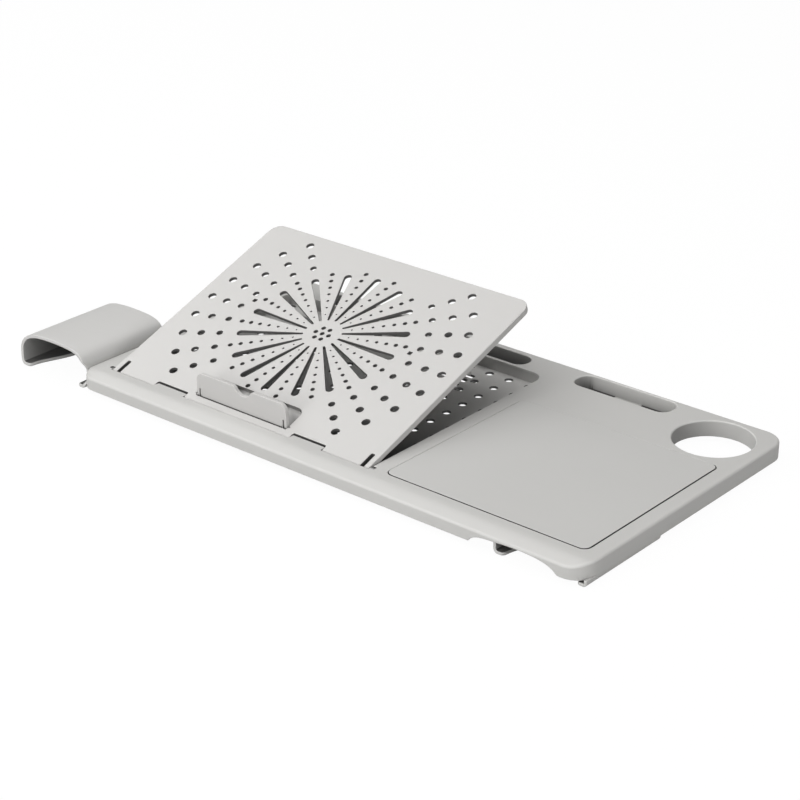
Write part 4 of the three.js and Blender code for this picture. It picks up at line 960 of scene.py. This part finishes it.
def panel_holes():
    """Loops of the panel's pattern: tapered spokes, lines of growing dots, three rings of holes at both
    sides, two small square holes and a small vent in the middle."""
    centre = np.array([ROSETTE[0], ROSETTE[1] - PANEL_THICK / 2])
    loops = []

    def at(away, turn):
        """Place at a distance and an angle from the pattern's centre."""
        return centre + away * np.array([np.cos(turn), np.sin(turn)])

    small, end = SPOKE_WIDTH[0] / 2, SPOKE_WIDTH[1] / 2
    spoke = np.vstack([
        arc(SPOKE_REACH[1] - end, 0.0, end, -np.pi / 2, np.pi / 2, 13),
        arc(SPOKE_REACH[0] + small, 0.0, small, np.pi / 2, 1.5 * np.pi, 7)])
    for turn in np.arange(SPOKES) * 2 * np.pi / SPOKES:
        c, s = np.cos(turn), np.sin(turn)
        loops.append(centre + spoke @ [[c, s], [-s, c]])
        for i in range(DOTS):
            radius = DOT_RADII[0] + (DOT_RADII[1] - DOT_RADII[0]) * i / (DOTS - 1)
            loops.append(ring(*at(DOT_FIRST + DOT_STEP * i, turn + np.pi / SPOKES), radius, 16))
    for side in (0.0, np.pi):
        for row in range(RING_ROWS):
            turn = side + (row - (RING_ROWS - 1) / 2) * np.pi / SPOKES
            loops += [ring(*at(away, turn), radius, 24) for away, radius in RINGS]
    for turn in SMALL_TURNS:
        middle = at(SMALL_RING, turn)
        loops.append(rectangle(*(middle - SMALL_HALF), *(middle + SMALL_HALF), 0.5, 9.0, 3))
    loops.append(ring(*centre, VENT_RADIUS, 20))
    loops += [ring(*at(VENT_RING, turn), VENT_RADIUS, 20) for turn in np.arange(VENTS) * 2 * np.pi / VENTS]
    return loops


def panel_surface(sizes):
    """Laptop panel: a perforated plate in a thicker rim, a pocket for the stop and a round hinge edge."""
    made = Surface()
    top = PANEL_THICK / 2
    front, back = -top, PANEL_LENGTH - top
    slit, notch, plate = SLIT_LENGTH - top, TAB_NOTCH - top, top - PANEL_PLATE
    inner = SLIT_INSET + SLIT_WIDTH
    side = [(0, front, 0.8), (SLIT_INSET, front, 0.8), (SLIT_INSET, slit, SLIT_ROUND),
            (inner, slit, SLIT_ROUND), (inner, front, 0.8)]
    corners = list(side)
    for x in TAB_STARTS:
        near, far = x - TAB_GAP, x + TAB_WIDTH + TAB_GAP
        corners += [(near, front, 0.8), (near, notch, 2.0), (far, notch, 2.0), (far, front, 0.8)]
    corners += mirror(side, PANEL_WIDTH / 2)
    corners += [(PANEL_WIDTH, back, PANEL_CORNER), (0, back, PANEL_CORNER)]
    outer = path(corners, 8.0, 8)

    def bottom(x, y):
        """Lower face of the rim, deeper along both sides but not at the hinge or over the prop's feet."""
        away = np.abs(x - PANEL_WIDTH / 2)
        return -top - PANEL_DROP * ease(*DROP_RUN, y - slit) * ease(*DROP_SIDES, away)

    x, y = outer.T
    radius = np.where(y < front + 0.5, 1.5, np.where(y < slit, 0.6, sizes.panel_edge * 1000))
    radius = np.where((y < front + 0.9) & (y > front + 0.01), 0.75, radius)
    rows, marks = round_rows(radius, top, bottom(x, y), 5)
    # Painted shade: full on the lower part of the hinge edge, and a little on the lower rows all round.
    marks[4:, (y < slit + 0.1) & (x > 1) & (x < PANEL_WIDTH - 1)] = -1.0
    marks[7:] = np.minimum(marks[7:], -0.2)
    rim = made.rim(outer, rows, -1, marks)

    # Pocket for the stop, with seats for its pins
    low = STOP_AXIS[0] - STOP_THICK / 2 - STOP_FRONT_GAP - top
    high = STOP_AXIS[0] + STOP_LENGTH + STOP_GAP - top
    seat = STOP_AXIS[0] - top
    half = STOP_WIDTH / 2
    far = STOP_CENTRE + half + STOP_GAP
    reach, rise = STOP_SEAT
    side = [(far, low, 0.6), (far, seat - rise, 0.6), (far + reach, seat - rise, 0.4),
            (far + reach, seat + rise, 0.4), (far, seat + rise, 0.6), (far, high, STOP_CORNER + 1)]
    rows = np.vstack([quarter(0.45, 3) + [0, top], [[0.0, top - STOP_POCKET]]])
    other = mirror(side, STOP_CENTRE)
    loop = path(other[-1:] + side + other[:-1], 12.0, 8)
    # The pocket's wall and floor are darkened by painted shade.
    pocket = made.rim(loop, rows.T, 1, [0, 0.5, 0.3, -0.6, -1.0])
    made.fill([pocket[-1]], top - STOP_POCKET, None, -0.2)

    # Hollow underside, clear of the stop's pocket
    near, far, start, high = STOP_CENTRE - half - 3.6, STOP_CENTRE + half + 3.6, slit + 3, high + 0.7
    right, end, corner = PANEL_WIDTH - PANEL_RIM, back - PANEL_RIM, PANEL_CORNER - PANEL_RIM
    loop = path([
        (PANEL_RIM, start, 1.5), (near, start, 2), (near, high, 2), (far, high, 2), (far, start, 2),
        (right, start, 1.5), (right, end, corner), (PANEL_RIM, end, corner)], 14.0, 6)
    low = bottom(*loop.T)
    height = np.stack([low, low + 0.4, np.full(len(loop), plate)])
    # Painted shade over the hollow's wall.
    hollow = made.rim(loop, ([0.4, 0.0, 0.0], height), 1, -0.8)

    # Holes through the plate
    edge = sizes.hole_edge * 1000
    rows, mark = wall_rows(top, plate, edge, 0.2, 3)
    # The holes' walls below their top rounding are darkened by painted shade.
    mark = np.where(rows[:, 1] < top - 0.9 * edge, -0.92, mark)
    holes = [made.rim(loop, rows.T, 1, mark) for loop in panel_holes()]
    made.fill([rim[0], pocket[0]] + [r[0] for r in holes], top)
    # Painted shade on the rim's lower face and under the plate.
    made.fill([rim[-1], hollow[0]], bottom, None, -0.3)
    made.fill([hollow[-1]] + [r[-1] for r in holes], plate, None, -0.8)

    # Hinge pins and the prop's lugs
    # The hinge pins are darkened by painted shade.
    for x0, x1 in ((RECESS[0] - 3.0, 1.0), (PANEL_WIDTH - 1.0, RECESS[2] + 3.0)):
        made.take(pin(x0, x1, HINGE_PIN).shaded(lambda points: np.full(len(points), -0.7)))
    y, z = PROP_AXIS[0] - top, top + PROP_AXIS[1]
    shape = np.vstack([arc(y, z, LUG_RADIUS, np.pi, 2 * np.pi, 15),
                       [[y + LUG_RADIUS, plate + 0.3], [y - LUG_RADIUS, plate + 0.3]]])
    for x in PROP_ARMS:
        for near, far in LUG_SIDES:
            made.take(moulded(shape, [ring(y, z, LUG_HOLE, 18)], x + far, x + near, 0.5, 0.2, 3), along_x)
    return made


def stop_surface():
    """Stop: a flat flap with round corners, a finger notch, two short slits and a round hinge edge, which
    is darkened by painted shade up to the panel's face."""
    half, wide = STOP_THICK / 2, STOP_WIDTH / 2
    rise = NOTCH_RADIUS - NOTCH_DEPTH
    reach = math.sqrt(NOTCH_RADIUS ** 2 - rise ** 2)
    notch = arc(NOTCH_OFFSET, STOP_LENGTH + rise, NOTCH_RADIUS,
                math.atan2(-rise, reach), math.atan2(-rise, -reach), 19)
    inset, width, deep = STOP_SLIT
    slits = (-wide + inset, wide - inset - width)
    corners = [(-wide, -half, 0.4)]
    for x in slits:
        corners += [(x, -half, 0.3), (x, deep, 0.3), (x + width, deep, 0.3), (x + width, -half, 0.3)]
    corners += [(wide, -half, 0.4), (wide, STOP_LENGTH, STOP_CORNER)]
    corners += [(NOTCH_OFFSET + reach + 1.6, STOP_LENGTH, 1.2)]
    corners += [(x, y, 0.0) for x, y in notch[1:-1]]
    corners += [(NOTCH_OFFSET - reach - 1.6, STOP_LENGTH, 1.2), (-wide, STOP_LENGTH, STOP_CORNER)]
    outer = path(corners, 5.0, 8)
    breaks = np.array([-wide, wide, *slits, *(x + width for x in slits)])
    along = np.abs(outer[:, :1] - breaks).min(1)
    hinge = np.clip(0.3 + 0.5 * (along - 0.4), 0.3, 1.9)
    radius = np.where(outer[:, 1] < -half + 0.05, hinge, np.where(outer[:, 1] < deep + 0.5, 0.3, 0.6))
    lines = crossings(np.linspace(1 - wide, wide - 1, 60), (STOP_FOOT - 0.05, STOP_FOOT + 0.05))
    made = moulded(outer, [], half, -half, radius, count=5, extra=kept_inside(lines, outer))
    made.shaded(lambda points: np.where(points[:, 1] < STOP_FOOT, -1.0, 0.0))
    made.take(pin(-wide - 2.2, -wide + 1, STOP_PIN))
    made.take(pin(wide - 1, wide + 2.2, STOP_PIN))
    return made


def prop_surface():
    """Prop: two arms with broad feet and two cross bars, as one plate with a window."""
    half = PROP_THICK / 2
    left, right = PROP_ARMS
    near, far = right - PROP_ARM, right + PROP_ARM
    heel, toe = right - PROP_FOOT, right + PROP_FOOT
    first, low, high, last = PROP_BARS
    side = [(near, first, 2.5), (near, -half, 1.5), (far, -half, 1.5), (far, PROP_ANKLE, 2),
            (toe, PROP_ANKLE, 2), (toe, PROP_LENGTH, 1.5), (heel, PROP_LENGTH, 1.5), (heel, PROP_ANKLE, 2),
            (near, PROP_ANKLE, 2), (near, last, 2.5)]
    window = rectangle(left + PROP_ARM, low, near, high, 3.0, 12.0, 5)
    made = moulded(path(side + mirror(side, (left + right) / 2), 10.0, 5), [window], half, -half, 0.9)
    for x in PROP_ARMS:
        made.take(pin(x - PROP_PIN_REACH, x + PROP_PIN_REACH, PROP_PIN))
    return made


def screw_surface(x, y, seat, length):
    """Screw pointing up: a turned pan head with a cross recess, drawn as height over radius and angle,
    and a ribbed shank whose radius swings with height."""
    angle = np.linspace(0, 2 * np.pi, 48, endpoint=False)

    def turned(radius, height):
        """Points round the screw's axis, at a radius and a height over its seat."""
        flat = x + radius * np.cos(angle), y + radius * np.sin(angle)
        return np.stack([*flat, seat + height + 0 * angle], -1)

    share = np.linspace(0.04, 1, 13)[:, None]
    cross = np.exp(-(np.sin(2 * angle)[None] * share * 3.2) ** 6) * (share < 0.62)
    head = turned(share * SCREW_HEAD, -1.5 * np.sqrt(np.maximum(1 - 0.75 * share ** 4, 0)) + 0.55 * cross)
    up = np.linspace(0.0, length, 40)[:, None]
    thread = SCREW_SHANK * (0.88 + 0.12 * np.cos(up * 2 * np.pi / 0.9 + angle[None]))
    shank = turned(thread * np.where(up > length - 0.6, 0.7, 1.0), up)
    made = Surface()
    made.grid(np.concatenate([head, turned(SCREW_HEAD, 0.0)[None], shank]))
    made.fill([head[0]], float(head[0, :, 2].mean()))
    made.fill([shank[-1]], float(seat + length))
    return made


class Expression:
    """A shader socket in a node tree, with the arithmetic that the finishes use."""

    def __init__(self, tree, socket):
        self.tree = tree
        self.socket = socket

    def node(self, kind, settings=None, inputs=None, output=0):
        """Adds any node: its settings first, then the values or links of its sockets."""
        made = self.tree.nodes.new(kind)
        for key, value in (settings or {}).items():
            setattr(made, key, value)
        for key, value in (inputs or {}).items():
            target = made.inputs[key]
            if isinstance(value, Expression):
                self.tree.links.new(value.socket, target)
            else:
                target.default_value = value
        return Expression(self.tree, made.outputs[output])

    def math(self, operation, other):
        """Adds a Math node on this value and another."""
        return self.node("ShaderNodeMath", {"operation": operation}, {0: self, 1: other})

    def __add__(self, other):
        return self.math("ADD", other)

    __radd__ = __add__

    def __sub__(self, other):
        return self.math("SUBTRACT", other)

    def __mul__(self, other):
        return self.math("MULTIPLY", other)

    def noise(self, scale, detail):
        """Noise over these coordinates."""
        return self.node("ShaderNodeTexNoise", None, {"Vector": self, "Scale": scale, "Detail": detail})

    def blend(self, dark, light):
        """Colour from dark to light by this value."""
        return self.node("ShaderNodeMix", {"data_type": "RGBA"}, {0: self, 6: dark, 7: light}, 2)

    def bump(self, strength, distance):
        """Normals bent by this value as a height."""
        return self.node("ShaderNodeBump", None, {"Strength": strength, "Distance": distance, "Height": self})

    def into(self, shader, name):
        """Links this value to a socket of a shader."""
        self.tree.links.new(self.socket, shader.inputs[name])


def finish_tree(name):
    """A new material with its Principled shader and its Object coordinates."""
    made = bpy.data.materials.new(name)
    made.use_nodes = True
    tree = made.node_tree
    place = tree.nodes.new("ShaderNodeTexCoord")
    return made, tree.nodes["Principled BSDF"], Expression(tree, place.outputs["Object"])


def tinted(colour, factor, lift=0.0):
    """A colour made darker or paler, with its alpha."""
    return (*np.minimum(np.array(colour[:3]) * factor + lift, 1), 1.0)


def plastic(name, colour, roughness, grain_size=0.00055, grain_depth=0.000018):
    """Moulded plastic: a fine spark grain in the bump, a faint cloud in the colour, long weak flow marks
    in the roughness, edges rubbed a little paler and smoother, and gaps and hollows darkened by painted
    shade."""
    made, shader, place = finish_tree(name)
    grain = place.noise(1 / grain_size, 2.0)
    pits = place.node("ShaderNodeTexVoronoi", None, {"Vector": place, "Scale": 0.6 / grain_size})
    cloud = place.noise(9.0, 3.0)
    stretched = place.node("ShaderNodeMapping", None, {"Vector": place, "Scale": (2.0, 26.0, 26.0)})
    flow = stretched.noise(4.0, 4.0)
    mark = place.node("ShaderNodeAttribute", {"attribute_name": "edge"}, None, 2)
    edge = mark.math("MAXIMUM", 0.0)
    # Painted shade: the marks below 0, turned positive.
    deep = (mark * -1.0).math("MAXIMUM", 0.0)
    tone = cloud * 0.55 + flow * 0.25 + grain * 0.2
    even = tone.blend(tinted(colour, 0.965), tinted(colour, 1.035))
    rubbed = (edge * 0.45).blend(even, tinted(colour, 1.08, 0.01))
    # Painted shade darkens the colour towards a tenth of itself.
    (deep * 0.9).blend(rubbed, tinted(colour, 0.1)).into(shader, "Base Color")
    rough = roughness + (flow - 0.5) * 0.10 + (grain - 0.5) * 0.12 - edge * 0.08
    rough.into(shader, "Roughness")
    (grain * 0.7 + pits * 0.3).bump(0.55, grain_depth).into(shader, "Normal")
    shader.inputs["Specular IOR Level"].default_value = 0.42
    return made


def steel(name, colour):
    """Plated screw steel: one fine mottle in the colour, the roughness and the bump."""
    made, shader, place = finish_tree(name)
    mottle = place.noise(900.0, 3.0)
    mottle.blend(tinted(colour, 0.8), tinted(colour, 1.1)).into(shader, "Base Color")
    (0.24 + mottle * 0.22).into(shader, "Roughness")
    mottle.bump(0.3, 0.00001).into(shader, "Normal")
    shader.inputs["Metallic"].default_value = 1.0
    return made


def finish(slot):
    """The finish of a slot, made once from the colours of the scene."""
    name = slot + "_finish"
    ready = bpy.data.materials.get(name)
    if ready is not None:
        return ready
    colours = bpy.context.scene.tray_colours
    tone = getattr(colours, slot.split("_")[0])
    if slot == "screw_steel":
        return steel(name, tone)
    if slot == "pad_plastic":
        return plastic(name, tone, colours.roughness + 0.1, 0.0004, 0.000012)
    return plastic(name, tone, colours.roughness)


def settle(made, body, slot, *nodes):
    """Gives a piece its finish, its body and the nodes that it stands for."""
    made.data.materials.append(finish(slot))
    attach(made, body)
    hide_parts(*nodes)


class TRAY_OT_shell(bpy.types.Operator):
    """Make the tray shell with its deck, skirt, tub, slot, pocket and cup tube"""

    bl_idname = "tray.shell"
    bl_label = "Tray shell"

    def execute(self, context):
        surface = tray_surface(context.scene.tray_sizes)
        surface.take(tray_details())
        settle(surface.piece("tray_body"), "tray", "shell_plastic", "tray_shell")
        return {"FINISHED"}


class TRAY_OT_pad(bpy.types.Operator):
    """Make the mouse surface in its seat"""

    bl_idname = "tray.pad"
    bl_label = "Mouse surface"

    def execute(self, context):
        left, front, right, back = PAD_GAPS
        outline = rectangle(
            PAD[0] + left, PAD[1] + front, PAD[2] - right, PAD[3] - back, PAD_CORNER - 0.7, 20.0, 8)
        surface = moulded(outline, [], PAD_TOP, PAD_TOP - PAD_THICK, PAD_EDGE, count=3)
        # Painted shade on the pad's side below its top rounding, down in the gap.
        surface.shaded(lambda points: np.where(points[:, 2] < PAD_TOP - PAD_EDGE + 0.01, -1.0, 0.0))
        settle(surface.piece("mouse_surface"), "tray", "pad_plastic", "mouse_pad")
        return {"FINISHED"}


class TRAY_OT_panel(bpy.types.Operator):
    """Make the perforated laptop panel"""

    bl_idname = "tray.panel"
    bl_label = "Laptop panel"

    def execute(self, context):
        made = panel_surface(context.scene.tray_sizes).piece("panel_plate", on_panel)
        settle(made, "panel", "panel_plastic", "laptop_panel")
        return {"FINISHED"}


class TRAY_OT_stop(bpy.types.Operator):
    """Make the flip-up stop"""

    bl_idname = "tray.stop"
    bl_label = "Laptop stop"

    def execute(self, context):
        settle(stop_surface().piece("stop_flap", on_stop), "stop", "panel_plastic", "laptop_stop")
        return {"FINISHED"}


class TRAY_OT_prop(bpy.types.Operator):
    """Make the folding prop behind the panel"""

    bl_idname = "tray.prop"
    bl_label = "Prop"

    def execute(self, context):
        settle(prop_surface().piece("prop_frame", on_prop), "prop", "panel_plastic", "prop_leg")
        return {"FINISHED"}


class TRAY_OT_hook(bpy.types.Operator):
    """Make the arm hook and the plate that carries it"""

    bl_idname = "tray.hook"
    bl_label = "Arm hook"

    def execute(self, context):
        made = hook_surface(context.scene.tray_sizes).piece("arm_hook_sheet")
        settle(made, "hook", "hook_plastic", "arm_hook")
        outline = rectangle(*PLATE, (2, 8, 8, 2), 20.0, 6)
        made = moulded(outline, [], PLATE_TOP, PLATE_BOTTOM, 0.5, count=3).piece("slide_plate_sheet")
        settle(made, "hook", "inner_plastic", "slide_plate")
        return {"FINISHED"}


class TRAY_OT_rails(bpy.types.Operator):
    """Make both guide rails of the sliding plate"""

    bl_idname = "tray.rails"
    bl_label = "Guide rails"

    def execute(self, context):
        for name, edge, side in (("front", PLATE[1] - RAIL_GAP, -1), ("rear", PLATE[3] + RAIL_GAP, 1)):
            low, high = sorted((edge, edge + side * RAIL_FOOT))
            surface = slab(*RAIL_ENDS, low, high, RAIL_BOTTOM, FLOOR_BOTTOM - 0.3, 0.8, 0.5)
            low, high = sorted((edge - side * RAIL_LIP[0], edge + side * RAIL_LIP[1]))
            surface.take(slab(*RAIL_ENDS, low, high, RAIL_BOTTOM + 0.02, PLATE_BOTTOM - RAIL_GAP, 0.8, 0.5))
            settle(surface.piece(f"rail_{name}"), "tray", "inner_plastic", f"guide_rail_{name}")
        return {"FINISHED"}


class TRAY_OT_inner_hook(bpy.types.Operator):
    """Make the inner hook of the right armrest channel"""

    bl_idname = "tray.inner_hook"
    bl_label = "Inner arm hook"

    def execute(self, context):
        made = inner_hook_surface(context.scene.tray_sizes).piece("inner_hook_sheet")
        settle(made, "tray", "hook_plastic", "inner_arm_hook")
        return {"FINISHED"}


class TRAY_OT_screws(bpy.types.Operator):
    """Make the screws of the rails, the sliding plate and the inner hook"""

    bl_idname = "tray.screws"
    bl_label = "Screws"

    def execute(self, context):
        places = {}
        for row, y in RAIL_ROWS.items():
            for column, x in RAIL_SCREWS.items():
                places[f"rail_screw_{row}_{column}"] = (x, y, RAIL_BOTTOM + SCREW_SUNK, "tray")
        for row, y in PLATE_SCREWS.items():
            places[f"plate_screw_{row}"] = (PLATE_SCREW_X, y, HOOK_BOTTOM + SCREW_SUNK, "hook")
        for row, y in HOOK_SCREWS.items():
            places[f"hook_screw_{row}"] = (HOOK_SCREW_X, y, INNER_HOOK_TOP - HOOK_SCREW_SEAT, "tray")
        for node, (x, y, seat, body) in places.items():
            surface = screw_surface(x, y, seat, SCREW_LENGTHS[node.split("_")[0]])
            settle(surface.piece(node.replace("screw", "fixing")), body, "screw_steel", node)
        return {"FINISHED"}


class TRAY_OT_stage(bpy.types.Operator):
    """Make the floor, the light and the camera"""

    bl_idname = "tray.stage"
    bl_label = "Stage"

    def execute(self, context):
        scene = context.scene
        scene.view_settings.view_transform = "Standard"
        floor = Surface()
        side = np.array([[-6000.0, -6000.0], [6500.0, -6000.0], [6500.0, 6500.0], [-6000.0, 6500.0]])
        floor.add(np.column_stack([side, np.full(4, HOOK_BOTTOM - 0.4)]), [[0, 1, 2, 3]])
        ground = floor.piece("floor")
        ground.data.materials.append(floor_finish())
        scene.world = room_light()
        for name, lamp in LAMPS.items():
            soft_lamp(name, *lamp)
        scene.camera = tray_camera()
        return {"FINISHED"}


def floor_finish():
    """Pale floor: brightened for the camera so that it reads white and keeps the shadow, and grey for the
    light that it throws back under the tray."""
    made, shader, place = finish_tree("floor_white")
    tree = made.node_tree
    seen = Expression(tree, tree.nodes.new("ShaderNodeLightPath").outputs["Is Camera Ray"])
    seen.blend((0.5, 0.5, 0.5, 1.0), (0.95, 0.95, 0.95, 1.0)).into(shader, "Base Color")
    shader.inputs["Roughness"].default_value = 0.9
    shader.inputs["Specular IOR Level"].default_value = 0.0
    glow = place.node("ShaderNodeEmission", None, {"Color": (1.0, 1.0, 1.0, 1.0)})
    plain = Expression(tree, shader.outputs[0])
    mixed = seen.node("ShaderNodeMixShader", None, {0: seen * 0.97, 1: plain, 2: glow})
    mixed.into(tree.nodes["Material Output"], "Surface")
    return made


def room_light():
    """White room: bright to the camera, and weak as a light and in reflections."""
    world = bpy.data.worlds.new("studio")
    world.use_nodes = True
    tree = world.node_tree
    light = tree.nodes["Background"]
    rays = tree.nodes.new("ShaderNodeLightPath")
    seen, glossy, clear = (
        Expression(tree, rays.outputs[f"Is {kind} Ray"]) for kind in ("Camera", "Glossy", "Transmission"))
    strength = seen.math("MAXIMUM", clear) * (1.0 - AMBIENT) + AMBIENT + glossy * GLOSS_LIGHT
    light.inputs["Color"].default_value = (1.0, 1.0, 1.0, 1.0)
    strength.into(light, "Strength")
    return world


def soft_lamp(name, place, size, power):
    """Square soft lamp that faces the middle of the tray."""
    lamp = bpy.data.lights.new(name, "AREA")
    lamp.size = size
    lamp.energy = power
    made = bpy.data.objects.new(name, lamp)
    bpy.context.scene.collection.objects.link(made)
    aim = Vector(LAMP_AIM) - Vector(place)
    made.location = place
    made.rotation_euler = aim.to_track_quat("-Z", "Y").to_euler()


def tray_camera():
    """Camera of the picture, turned by its azimuth and its elevation."""
    camera = bpy.data.cameras.new("camera")
    camera.sensor_width = 36.0
    camera.lens = CAMERA_LENS
    camera.clip_end = 30.0
    view = bpy.data.objects.new("camera", camera)
    bpy.context.scene.collection.objects.link(view)
    right = Vector((math.cos(CAMERA_AZIMUTH), math.sin(CAMERA_AZIMUTH), 0.0))
    level = Vector((math.sin(CAMERA_AZIMUTH), -math.cos(CAMERA_AZIMUTH), 0.0))
    back = level * math.cos(CAMERA_ELEVATION) + Vector((0.0, 0.0, math.sin(CAMERA_ELEVATION)))
    turn = Matrix((right, back.cross(right), back)).transposed()
    view.matrix_world = Matrix.Translation(CAMERA_PLACE) @ turn.to_4x4()
    return view


ORDER = (TRAY_OT_shell, TRAY_OT_pad, TRAY_OT_panel, TRAY_OT_stop, TRAY_OT_prop, TRAY_OT_hook, TRAY_OT_rails,
         TRAY_OT_inner_hook, TRAY_OT_screws, TRAY_OT_stage)


class TRAY_PT_sidebar(bpy.types.Panel):
    """Sizes, colours and steps of the tray"""

    bl_idname = "TRAY_PT_sidebar"
    bl_label = "Chair laptop tray"
    bl_space_type = "VIEW_3D"
    bl_region_type = "UI"
    bl_category = "Tray"

    def draw(self, context):
        for group in (context.scene.tray_sizes, context.scene.tray_colours):
            for name in group.__annotations__:
                self.layout.prop(group, name)
        for step in ORDER:
            self.layout.operator(step.bl_idname)


CLASSES = (TraySizes, TrayColours, *ORDER, TRAY_PT_sidebar)


def register():
    for kind in CLASSES:
        bpy.utils.register_class(kind)
    bpy.types.Scene.tray_sizes = PointerProperty(type=TraySizes)
    bpy.types.Scene.tray_colours = PointerProperty(type=TrayColours)


def unregister():
    del bpy.types.Scene.tray_colours
    del bpy.types.Scene.tray_sizes
    for kind in reversed(CLASSES):
        bpy.utils.unregister_class(kind)


def main():
    register()
    for step in ORDER:
        group, name = step.bl_idname.split(".")
        getattr(getattr(bpy.ops, group), name)()


if __name__ == "__main__":
    main()
